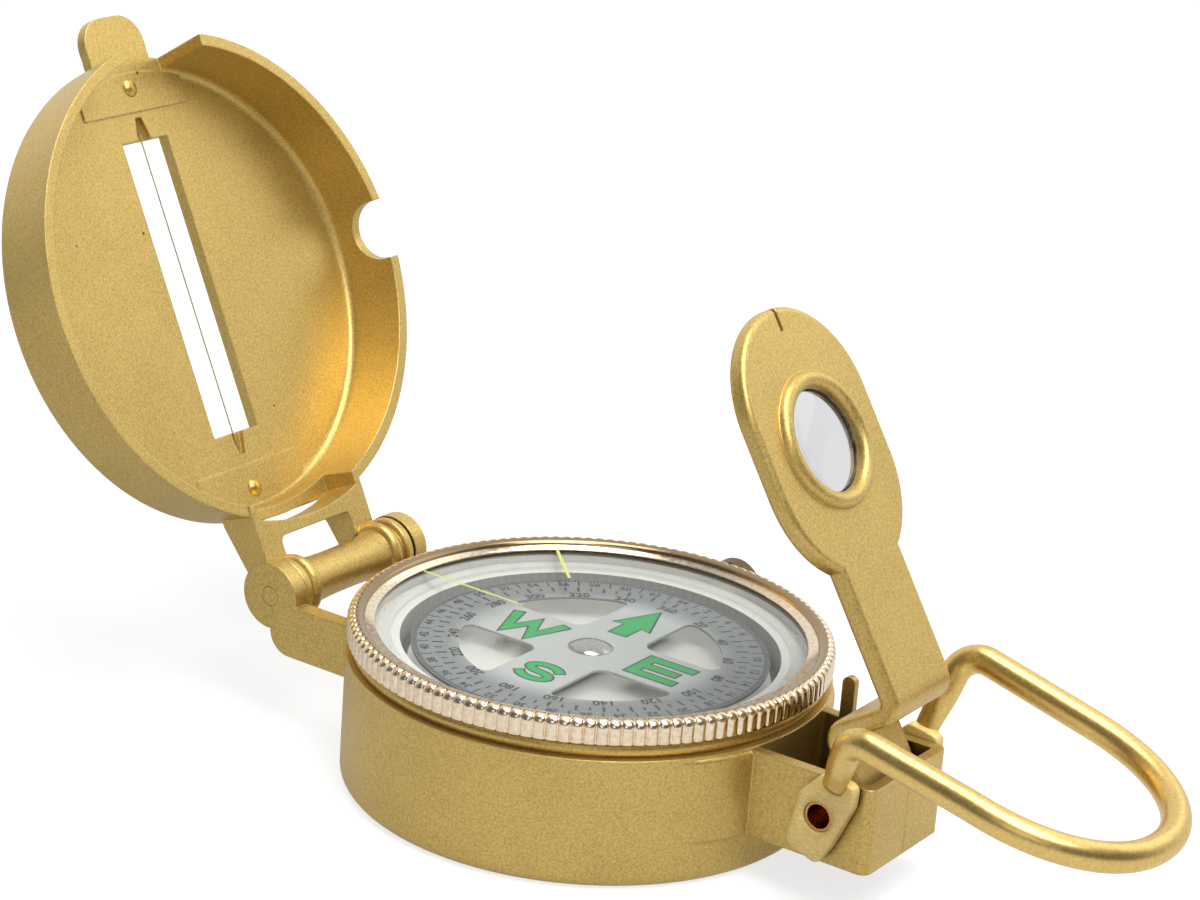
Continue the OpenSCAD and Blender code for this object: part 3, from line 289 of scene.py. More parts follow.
@dataclass(frozen=True)
class Finish:
    """A painted, metal or plastic surface with grain and, where they are given, wear, a ring of another
    colour and painted shade in hollows.
    """

    light: Colour
    dark: Colour
    rubbed: Colour | None = None
    roughness: float = 0.4
    roughness_spread: float = 0.12
    metallic: float = 1.0
    coat: float = 0.0
    coat_roughness: float = 0.03
    grain_scale: float = 5200.0
    grain_depth: float = 0.25
    bump_height: float = 0.05
    edge_radius: float = 0.25
    edge_share: float = 0.6
    pit_size: float = 0.0
    pit_colour: Colour = (0.16, 0.10, 0.03)
    brushed_along: Colour | None = None
    brush_edges: tuple[float, float] = (0.35, 0.65)
    brush_depth: float = 2.0
    dirt_share: float = 0.0
    dirt_reach: float = 9.0
    dirt_from: float = 28.3
    dirt_soft: float = 0.5
    dirt_shade: float = 0.12
    band: Band | None = None
    shows_light: float = 0.0

    def build(self, name: str, effects: Effects) -> bpy.types.Material:
        """Makes the material.

        Args:
            name: its name.
            effects: the shared shader effects.

        Returns:
            The material.
        """
        material, g, shader = principled(name)
        grain = g.group(effects.grain, Scale=self.grain_scale)
        colour, height = g.blend(grain["Tone"], self.dark, self.light), grain["Height"]
        smoothest = self.roughness - self.roughness_spread / 2
        bump = {"Strength": self.grain_depth, "Distance": self.bump_height * MM}
        if self.brushed_along:
            run = g.add("Mapping", {"Vector": g.place(), "Scale": self.brushed_along}).outputs[0]
            lines = g.noise(run, 1.0, detail=4.0, roughness=0.7)
            colour = g.blend(g.remap(lines, *self.brush_edges), self.dark, colour)
            height = g.math("ADD", g.math("MULTIPLY", lines, self.brush_depth), height)
        if self.band:
            start, end, soft = (v * MM for v in (self.band.start, self.band.end, self.band.soft))
            ring = g.group(effects.band, Start=start, End=end, Soft=soft)["Mask"]
            colour = g.blend(ring, colour, self.band.tone)
        # Painted shade: beyond a radius from the axis (the lens box's inside), hollows found by ambient
        # occlusion are blended towards a near-black copy of the dark colour.
        if self.dirt_share > 0:
            hollow = g.group(effects.recess, Reach=self.dirt_reach * MM)["Mask"]
            outside = g.group(effects.band, Start=self.dirt_from * MM, Soft=self.dirt_soft * MM)["Mask"]
            share = g.math("MULTIPLY", hollow, g.math("MULTIPLY", outside, self.dirt_share))
            colour = g.blend(share, colour, tuple(self.dirt_shade * c for c in self.dark))
        if self.rubbed:
            edges = g.group(effects.edges, Radius=self.edge_radius * MM)
            colour = g.blend(g.math("MULTIPLY", edges["Mask"], self.edge_share), colour, self.rubbed)
            bump["Normal"] = edges["Normal"]
        if self.pit_size > 0:
            pits = g.group(effects.pits, Size=self.pit_size)["Mask"]
            colour = g.blend(pits, colour, self.pit_colour)
            height = g.math("SUBTRACT", height, pits)
        g.feed(shader, {
            "Metallic": self.metallic, "Coat Weight": self.coat, "Coat Roughness": self.coat_roughness,
            "Base Color": colour, "Normal": g.add("Bump", {"Height": height, **bump}).outputs[0],
            "Roughness": g.math("MULTIPLY_ADD", grain["Tone"], self.roughness_spread, smoothest)})
        if self.shows_light > 0:
            let_light_through(material, g, shader, (1.0, 1.0, 1.0), self.shows_light)
        return material


@dataclass(frozen=True)
class ClearFinish:
    """Glass or clear plastic that lets lamp light through to what is behind it."""

    tint: Colour
    ior: float
    roughness: float = 0.01
    smear: float = 0.02
    smear_edges: tuple[float, float] = (0.45, 0.75)
    smear_scale: float = 160.0
    smear_gain: float = 1.02

    def build(self, name: str) -> bpy.types.Material:
        """Makes the material.

        Args:
            name: its name.

        Returns:
            The material.
        """
        material, g, shader = principled(name)
        smears = g.noise(g.place(), self.smear_scale, detail=4.0)
        pale = tuple(min(1.0, c * self.smear_gain) for c in self.tint)
        rough = g.remap(smears, *self.smear_edges, self.roughness, self.roughness + self.smear)
        g.feed(shader, {"Roughness": rough, "Base Color": g.blend(smears, self.tint, pale),
                        "IOR": self.ior, "Transmission Weight": 1.0})
        let_light_through(material, g, shader, self.tint, 1.0)
        return material


PAINT = Finish((0.76, 0.545, 0.175), (0.44, 0.305, 0.088), (0.88, 0.70, 0.34), roughness=0.38,
               metallic=0.80, grain_scale=3800.0, grain_depth=0.30, pit_size=0.06)
PLASTIC = Finish((0.72, 0.71, 0.66), (0.64, 0.63, 0.585), roughness=0.45, roughness_spread=0.1,
                 metallic=0.0, coat_roughness=0.08, grain_scale=2500.0, grain_depth=0.05,
                 bump_height=0.03)
FINISHES = {
    "gold_paint": PAINT,
    # The case's paint carries painted shade in the hollows of the lens box.
    "gold_paint_shaded": replace(PAINT, dirt_share=0.97),
    "ring_wire_brass": Finish(
        (0.80, 0.58, 0.21), (0.62, 0.43, 0.14), (0.95, 0.80, 0.46), roughness=0.33,
        roughness_spread=0.05, grain_scale=2600.0, grain_depth=0.04, edge_radius=0.02, edge_share=0.0),
    "paddle_brass": Finish(
        (1.0, 0.80, 0.34), (0.74, 0.53, 0.17), (1.0, 0.92, 0.60), roughness=0.38, metallic=0.20,
        grain_depth=0.20, brushed_along=(900.0, 900.0, 5200.0)),
    "rose_gold": Finish(
        (0.92, 0.80, 0.62), (0.72, 0.56, 0.38), (1.0, 0.96, 0.88), roughness=0.20, grain_scale=1800.0,
        grain_depth=0.03, edge_radius=0.05, edge_share=0.2,
        # The band paints the bezel's inner wall below the crown dark brown: painted shade.
        band=Band(25.95, 27.15, 0.12, (0.34, 0.24, 0.13))),
    "steel": Finish((0.58, 0.55, 0.53), (0.36, 0.34, 0.33), (0.9, 0.9, 0.9), roughness=0.14,
                    grain_depth=0.08),
    "hairline_wire": Finish((0.62, 0.46, 0.20), (0.42, 0.30, 0.12), (0.8, 0.6, 0.3), roughness=0.3),
    "magnet_steel": Finish((0.22, 0.22, 0.23), (0.12, 0.12, 0.13), (0.4, 0.4, 0.4)),
    "copper_pin": Finish((0.80, 0.42, 0.12), (0.40, 0.17, 0.04), (0.95, 0.7, 0.3), roughness=0.24),
    "dark_bronze": Finish((0.20, 0.13, 0.05), (0.08, 0.05, 0.02), (0.45, 0.32, 0.14), roughness=0.38),
    "stud_brass": Finish((0.80, 0.56, 0.16), (0.50, 0.32, 0.07), (0.95, 0.76, 0.38), roughness=0.32,
                         metallic=0.9, grain_depth=0.12),
    # The band paints a near-black ring round the edge of the capsule's floor: painted shade of the gap
    # under the card.
    "white_plastic": replace(PLASTIC, roughness=0.4, band=Band(20.9, 21.95, 0.1, (0.10, 0.10, 0.10))),
    "card_grey": replace(PLASTIC, light=(0.45, 0.46, 0.448), dark=(0.39, 0.40, 0.388), roughness=0.55,
                         band=Band(13.0, 30.0, 3.5, (0.195, 0.205, 0.20)), shows_light=0.7),
    "cushion_rubber": replace(PLASTIC, light=(0.05, 0.05, 0.05), dark=(0.03, 0.03, 0.03), roughness=0.8,
                              grain_depth=0.3),
    "ruby": replace(PLASTIC, light=(0.5, 0.02, 0.06), dark=(0.3, 0.01, 0.03), roughness=0.1, coat=1.0),
    "dial_ink": replace(PLASTIC, light=(0.014, 0.014, 0.017), dark=(0.008, 0.008, 0.01)),
    "dial_green": replace(PLASTIC, light=(0.018, 0.34, 0.08), dark=(0.012, 0.27, 0.06), roughness=0.5),
    "luminous_paint": replace(PLASTIC, light=(0.60, 0.62, 0.17), dark=(0.50, 0.52, 0.13), roughness=0.5),
}
CLEAR_FINISHES = {
    "crystal_glass": ClearFinish((0.97, 0.975, 0.975), 1.06),
    "clear_plastic": ClearFinish((0.95, 0.955, 0.95), 1.045),
    "lens_glass": ClearFinish((0.60, 0.60, 0.61), 1.45),
}
DRESS = {
    "case": "gold_paint_shaded", "cover": "gold_paint", "lens_bracket": "gold_paint",
    "hinge_pin": "gold_paint", "bezel_ring": "rose_gold", "thumb_ring": "ring_wire_brass",
    "capsule_cushion": "cushion_rubber", "capsule_base": "white_plastic", "capsule_lid": "clear_plastic",
    "pivot_pin": "steel", "card": "card_grey", "card_magnet": "magnet_steel", "jewel_cap": "steel",
    "jewel_bearing": "ruby", "crystal": "crystal_glass", "retaining_wire": "steel",
    "bezel_lock_screw": "dark_bronze", "sighting_wire": "hairline_wire", "wire_studs": "stud_brass",
    "lens": "lens_glass", "lens_retainer": "steel", "bracket_pin": "copper_pin",
}


def make_looks() -> Looks:
    """Makes every material once.

    Returns:
        The materials by name.
    """
    effects = Effects()
    looks = {name: finish.build(name, effects) for name, finish in FINISHES.items()}
    return looks | {name: finish.build(name) for name, finish in CLEAR_FINISHES.items()}


def unit(rows: np.ndarray) -> np.ndarray:
    """Vectors, one a row, each divided by its length."""
    return rows / np.linalg.norm(rows, axis=-1, keepdims=True)


def eased(share: np.ndarray) -> np.ndarray:
    """A share kept between 0 and 1, with soft ends: 3 s^2 - 2 s^3."""
    share = np.clip(share, 0, 1)
    return share * share * (3 - 2 * share)


def triangles(quads: np.ndarray) -> np.ndarray:
    """The first half of every quad, and then the second halves."""
    return np.concatenate([quads[:, [0, 1, 2]], quads[:, [0, 2, 3]]])


def linked(name: str, data: bpy.types.ID) -> bpy.types.Object:
    """Puts a new object into the scene.

    Args:
        name: its name.
        data: the mesh, lamp or camera that it holds.

    Returns:
        The object.
    """
    obj = bpy.data.objects.new(name, data)
    bpy.context.scene.collection.objects.link(obj)
    return obj


def new_piece(name: str, points: np.ndarray, faces: np.ndarray, body: Body, slot: str,
              material: bpy.types.Material, smooth: bool = True) -> bpy.types.Object:
    """Makes a mesh piece from arrays and lets it ride on a body.

    A shell whose signed volume (a sixth of the sum of a . (b x c) over its triangles) is below
    zero is turned round, so that its faces point outwards. Flat print is left as it is.

    Args:
        name: name of the piece.
        points: its points in millimetres, one row each.
        faces: its triangles or quads, one row of point numbers each.
        body: the body it rides on.
        slot: the name of a material slot, not used.
        material: its finish.
        smooth: True shades it smooth.

    Returns:
        The new object.
    """
    a, b, c = np.moveaxis(points[triangles(faces) if faces.shape[1] == 4 else faces], 1, 0)
    solid = np.ptp(points[:, 2]) >= THINNEST_SOLID
    if solid and np.einsum("ij,ij->", a, np.cross(b, c)) < 0:
        faces = faces[:, ::-1]
    mesh = bpy.data.meshes.new(name)
    mesh.vertices.add(len(points))
    mesh.vertices.foreach_set("co", (points * MM).astype(np.float32).ravel())
    mesh.loops.add(faces.size)
    mesh.loops.foreach_set("vertex_index", faces.astype(np.int32).ravel())
    mesh.polygons.add(len(faces))
    mesh.polygons.foreach_set("loop_start", np.arange(len(faces), dtype=np.int32) * faces.shape[1])
    mesh.polygons.foreach_set("use_smooth", np.full(len(faces), smooth))
    mesh.update(calc_edges=True)
    mesh.materials.append(material)
    obj = linked(name, mesh)
    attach(obj, body.value)
    LOG.info("%s: %d faces on %s", name, len(faces), body.value)
    return obj


def grid_faces(rows: int, columns: int, close_rows: bool = False,
               close_columns: bool = False) -> np.ndarray:
    """The quads of a grid of points, numbered row by row.

    Args:
        rows: number of rows of points.
        columns: number of points in a row.
        close_rows: True joins the last row to the first.
        close_columns: True joins the last column to the first.

    Returns:
        One row of four point numbers for each quad.
    """
    i, j = np.meshgrid(np.arange(rows - (not close_rows)), np.arange(columns - (not close_columns)),
                       indexing="ij")
    i2, j2 = (i + 1) % rows, (j + 1) % columns
    return np.stack([i * columns + j, i2 * columns + j, i2 * columns + j2, i * columns + j2],
                    axis=-1).reshape(-1, 4)


def joined(parts: list[Shape]) -> Shape:
    """Joins several shapes into one.

    Args:
        parts: the points and faces of each.

    Returns:
        Points and faces.
    """
    starts = np.cumsum([0] + [len(p) for p, _ in parts[:-1]])
    return (np.concatenate([p for p, _ in parts]),
            np.concatenate([f + s for (_, f), s in zip(parts, starts)]))


def rounded_corner(centre: tuple[float, float], radius: float, start: float, end: float,
                   count: int) -> np.ndarray:
    """Points of an arc: centre + radius (cos t, sin t), with t from start to end in degrees."""
    t = np.radians(np.linspace(start, end, count))
    return np.stack([centre[0] + radius * np.cos(t), centre[1] + radius * np.sin(t)], axis=-1)


def rounded_strip(near: float, far: float, rows: int, sunk: float, proud: float,
                  columns: int = 7) -> tuple[np.ndarray, np.ndarray, np.ndarray]:
    """Grids of u along a strip, v from -1 to 1 across it, and height proud * sqrt(1 - v^2) - sunk."""
    u, v = np.meshgrid(np.linspace(near, far, rows), np.linspace(-1, 1, columns), indexing="ij")
    return u, v, proud * np.sqrt(np.clip(1 - v ** 2, 0, 1)) - sunk


@dataclass
class Bezel:
    """The turning bezel with its rounded ribs, and the luminous lines on its crystal."""

    looks: Looks
    rib_count: int = 127
    rib_depth: float = 0.45
    rib_power: float = 2.2
    rib_end_share: float = 0.7
    steps_per_rib: int = 12
    least_cut: float = 0.25
    outer_r: float = 28.0
    low_z: float = 17.05
    top_z: float = 19.85
    foot_r: float = 0.25
    shoulder_r: float = 0.95
    bore_r: float = 26.88
    step_z: float = 18.2
    pocket_r: float = 26.3
    glass_top: float = 18.95
    lip_r: float = 24.8
    lip_t: float = 0.14
    lip_chamfer: float = 0.06
    mouth_r: float = 26.95
    mouth_drop: float = 0.04
    ledge_r: float = 26.0
    line_far: float = 24.7
    line_lift: float = 0.01
    line_height: float = 0.06
    lines: tuple[tuple[float, float, float], ...] = ((135.0, 15.6, 0.42), (179.0, 10.0, 0.32))

    def profile(self) -> tuple[np.ndarray, np.ndarray]:
        """The ring's cross-section and how much the ribs act at each of its points.

        The slope inside the crown is hollow: radius = ledge + w (1 - sin q) and height = ledge's
        top + d cos q, for q from 0 at the crown to 90 degrees at the ledge.

        Returns:
            Points as radius and height, and the share of the rib depth at each.
        """
        out, low, top, soft, foot_r = self.outer_r, self.low_z, self.top_z, self.shoulder_r, self.foot_r
        wall = np.stack([np.full(5, out), np.linspace(low + foot_r, top - soft, 5)], axis=-1)
        crown = rounded_corner((out - soft, top - soft), soft, 0, 90, 11)[1:]
        foot = rounded_corner((out - foot_r, low + foot_r), foot_r, -90, 0, 4)[:-1]
        lip_top = self.glass_top + self.lip_t
        ledge_top = lip_top + self.lip_chamfer
        q = np.radians(np.linspace(0, 90, 12))
        wide, deep = self.mouth_r - self.ledge_r, top - self.mouth_drop - ledge_top
        cove = np.stack([self.ledge_r + wide * (1 - np.sin(q)), ledge_top + deep * np.cos(q)], axis=-1)
        rest = np.array([
            [self.lip_r + self.lip_chamfer, lip_top], [self.lip_r, self.glass_top],
            [self.pocket_r, self.glass_top], [self.pocket_r, self.step_z],
            [self.bore_r, self.step_z], [self.bore_r, low]])
        share = [np.full(len(foot), self.rib_end_share), np.ones(len(wall)),
                 np.linspace(1.0, self.rib_end_share, len(crown)), np.zeros(len(cove) + len(rest))]
        return np.concatenate([foot, wall, crown, cove, rest]), np.concatenate(share)

    def build(self) -> None:
        """Makes the ribbed ring.

        A point moves inwards, and down on the crown, by share * depth * (1 - (1 - |2f|^p)^(1/p)),
        with the ribs' power p and the place f across a rib from -0.5 to 0.5. So the ribs are
        round and the grooves between them narrow.
        """
        section, share = self.profile()
        count = self.rib_count * self.steps_per_rib
        turn = np.arange(count)[:, None] / count * 2 * math.pi
        across = (np.arange(count) % self.steps_per_rib) / self.steps_per_rib * 2 - 1
        groove = 1 - (1 - np.abs(across) ** self.rib_power) ** (1 / self.rib_power)
        depth = self.rib_depth * groove[:, None] * share
        shoulder = self.outer_r - self.shoulder_r
        slope = np.clip((section[:, 0] - shoulder) / self.shoulder_r, 0, 1)
        radius = section[:, 0] - depth * np.where(share > 0, np.maximum(slope, self.least_cut), 0)
        on_crown = section[:, 1] > self.top_z - self.shoulder_r
        height = section[:, 1] - depth * (1 - slope) * on_crown
        points = np.stack([radius * np.cos(turn), radius * np.sin(turn), height], axis=-1)
        faces = grid_faces(count, len(section), True, True)
        ring = new_piece("bezel_ribs", points.reshape(-1, 3), faces, Body.BEZEL, "rose_gold",
                         self.looks["rose_gold"])
        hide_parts("bezel_ring")

    def paint_lines(self) -> None:
        """Lays the luminous lines on the crystal, each a strip between two radii at one angle."""
        for number, (angle, near, width) in enumerate(self.lines, 1):
            u, v, height = rounded_strip(near, self.line_far, 12, -self.line_lift, self.line_height)
            cos, sin, v = math.cos(math.radians(angle)), math.sin(math.radians(angle)), v * width / 2
            points = np.stack([u * cos - v * sin, u * sin + v * cos, self.glass_top + height], axis=-1)
            new_piece(f"luminous_line_{number}", points.reshape(-1, 3), grid_faces(*u.shape), Body.BEZEL,
                      "crystal_glass", self.looks["luminous_paint"])


@dataclass
class ThumbRing:
    """The wire ring for the thumb with its two flattened, drilled paddles.

    Every place but the pin's is relative to the pin, and the bends are the near and the far one.
    """

    looks: Looks
    pin: tuple[float, float] = (37.1, 11.1)
    wire_r: float = 1.65
    wire_sides: int = 40
    root: tuple[float, float] = (1.55, 4.1)
    root_sunk: float = 0.2
    bends: tuple[tuple[float, float], ...] = ((5.4, 12.4), (3.6, 13.5))
    bend_r: float = 3.0
    leg_start: tuple[float, float] = (5.4, 13.2)
    leg_y: float = 13.84
    slope: float = 15.0
    length: float = 30.85
    crown_l: float = 15.85
    crown_power: float = 2.1
    neck_l: float = 5.5
    neck_narrow: float = 0.16
    neck_thin: float = 0.45
    turn_start: float = 5.0
    turn_l: float = 7.0
    paddle_y: float = 8.3
    paddle_t: float = 1.6
    paddle_points: int = 96
    hole_r: float = 1.75
    hole_chamfer: float = 0.1
    edge_soft: float = 0.28
    edge_share: float = 0.06
    corner_r: float = 1.0
    corners: tuple[tuple[float, float], ...] = (
        (-2.6, -3.4), (0, -4.3), (0.9, -2.7), (3, 2.3), (3.1, 3.8), (0.6, 4.2), (-1.5, 1.9))

    def half_path(self, side: int) -> np.ndarray:
        """Middle line of the wire on one side, from its paddle to the crown's tip.

        It is a straight rise, an arc of the bend's radius, a straight run and a quarter of the
        superellipse |x / length|^n + |y / width|^n = 1.

        Args:
            side: -1 or 1, the side along Y.

        Returns:
            The points, one row each.
        """
        fall = np.array([math.cos(math.radians(self.slope)), 0, -math.sin(math.radians(self.slope))])
        leg_y, root_y = side * self.leg_y, side * (self.paddle_y + self.wire_r - self.root_sunk)
        start = np.array([self.root[0], root_y, self.root[1]])
        bend_x, bend_z = self.bends[side > 0]
        corner = np.array([bend_x, leg_y, bend_z])
        leg_start = np.array([self.leg_start[0], leg_y, self.leg_start[1]])
        crown = leg_start + (self.length - self.crown_l) * fall
        rise, run = unit(corner - start), unit(crown - corner)
        turn = math.acos(float(rise @ run))
        inward = unit(run - (rise @ run) * rise)
        reach = self.bend_r * math.tan(turn / 2)
        t = np.linspace(0, turn, 18)[:, None]
        arc = corner - reach * rise + self.bend_r * (inward + np.sin(t) * rise - np.cos(t) * inward)
        straight = start + np.linspace(0, 1, 12)[:-1, None] * (arc[0] - start)
        leg = arc[-1] + np.linspace(0, 1, 14)[1:, None] * (crown - arc[-1])
        q = np.radians(np.linspace(0, 90, 34))[1:]
        n = 2 / self.crown_power
        tip = crown + (self.crown_l * np.sin(q) ** n)[:, None] * fall
        tip[:, 1] = leg_y * np.cos(q) ** n
        return np.concatenate([straight, arc, leg, tip])

    def wire(self) -> Shape:
        """The wire's skin: a round section carried along the path and pressed flat at its ends.

        A section point is middle + a (r w cos t) + b (r f sin t). Near a paddle the width w and
        the thickness f shrink to a pinched neck, and b turns towards Y.

        Returns:
            Points and faces.
        """
        path = np.concatenate([self.half_path(1), self.half_path(-1)[-2::-1]])
        along = unit(np.gradient(path, axis=0))
        run = np.concatenate([[0], np.cumsum(np.linalg.norm(np.diff(path, axis=0), axis=1))])
        end = np.minimum(run, run[-1] - run)
        flat = eased(1 - end / self.neck_l)
        up = np.array([math.sin(math.radians(self.slope)), 0, math.cos(math.radians(self.slope))])
        turned = eased((end - self.turn_start) / self.turn_l)[:, None]
        aim = np.array([0.0, 1.0, 0.0]) * (1 - turned) + up * turned
        thin = unit(aim - np.einsum("ij,ij->i", aim, along)[:, None] * along)
        wide = np.cross(along, thin)
        sides = self.wire_sides
        t = np.linspace(0, 2 * math.pi, sides, endpoint=False)
        a = self.wire_r * (1 - self.neck_narrow * flat)[:, None] * np.cos(t)
        b = self.wire_r * (1 - self.neck_thin * flat)[:, None] * np.sin(t)
        skin = path[:, None] + a[..., None] * wide[:, None] + b[..., None] * thin[:, None]
        points = np.concatenate([skin.reshape(-1, 3), path[:1], path[-1:]])
        ring, first = np.arange(sides), (len(path) - 1) * sides
        following, middle = (ring + 1) % sides, np.full(sides, len(path) * sides)
        caps = [np.stack([ring, following, middle], -1),
                np.stack([first + following, first + ring, middle + 1], -1)]
        around = triangles(grid_faces(len(path), sides, close_columns=True))
        return points, np.concatenate([around, *caps])

    def outline(self) -> np.ndarray:
        """The paddle's rounded outline about the pin: its corners joined by arcs of one radius.

        For each ray from the pin it takes the furthest of the ray's cuts with the round corners
        and with the straight sides between them.

        Returns:
            The points in x and z, evenly spread by angle seen from the pin.
        """
        tiny = 1e-9
        angles = np.linspace(0, 2 * math.pi, self.paddle_points, endpoint=False)
        ray = np.stack([np.cos(angles), np.sin(angles)], axis=-1)
        corners = np.array(self.corners)
        middle = ray @ corners.T
        gap = self.corner_r ** 2 - ((corners ** 2).sum(1)[None] - middle ** 2)
        reach = np.where(gap > 0, middle + np.sqrt(np.maximum(gap, 0)), 0).max(1)
        side = np.roll(corners, -1, axis=0) - corners
        long = np.linalg.norm(side, axis=1)
        normal = unit(np.stack([side[:, 1], -side[:, 0]], axis=-1))
        edge = corners + self.corner_r * normal
        facing = ray @ normal.T
        level = np.where(np.abs(facing) < tiny, tiny, facing)
        far = np.einsum("cd,cd->c", edge, normal)[None] / level
        hit = far[..., None] * ray[:, None] - edge[None]
        along = np.einsum("acd,cd->ac", hit, unit(side))
        inside = (far > 0) & (along >= 0) & (along <= long[None])
        return ray * np.maximum(reach, np.where(inside, far, 0).max(1))[:, None]

    def paddle(self, side: int) -> Shape:
        """A flat drilled plate with soft edges.

        Its section runs from the hole's wall over one face, round the outer edge and back over
        the other face: a point is hole + s (outline - hole), at a height of its own.

        Args:
            side: -1 or 1, the side along Y.

        Returns:
            Points and faces.
        """
        rim = self.outline()
        hole = unit(rim) * self.hole_r
        half, soft = self.paddle_t / 2, self.edge_soft
        turn = np.radians(np.linspace(90, -90, 9))
        on_face = np.array([0, 0.02, 0.5])
        share = np.concatenate([on_face, 1 - self.edge_share * (1 - np.cos(turn)), on_face[::-1]])
        face_y = np.array([half - self.hole_chamfer, half, half])
        edge_y = np.sign(np.sin(turn)) * (half - soft) + soft * np.sin(turn)
        lift = np.concatenate([face_y, edge_y, -face_y[::-1]])
        flat = hole + share[:, None, None] * (rim - hole)
        y = np.broadcast_to(side * (self.paddle_y + half) + lift[:, None], flat.shape[:2])
        points = np.stack([flat[..., 0], y, flat[..., 1]], axis=-1)
        quads = grid_faces(len(share), len(rim), True, True)[:, ::-side]
        return points.reshape(-1, 3), triangles(quads)

    def build(self) -> None:
        """Makes the wire and the two paddles."""
        place = np.array([self.pin[0], 0.0, self.pin[1]])
        for name, (points, faces), finish in (("thumb_ring_wire", self.wire(), "ring_wire_brass"),
                                              ("ring_paddle_near", self.paddle(-1), "paddle_brass"),
                                              ("ring_paddle_far", self.paddle(1), "paddle_brass")):
            piece = new_piece(name, points + place, faces, Body.RING, "ring_brass", self.looks[finish])
            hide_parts("thumb_ring")


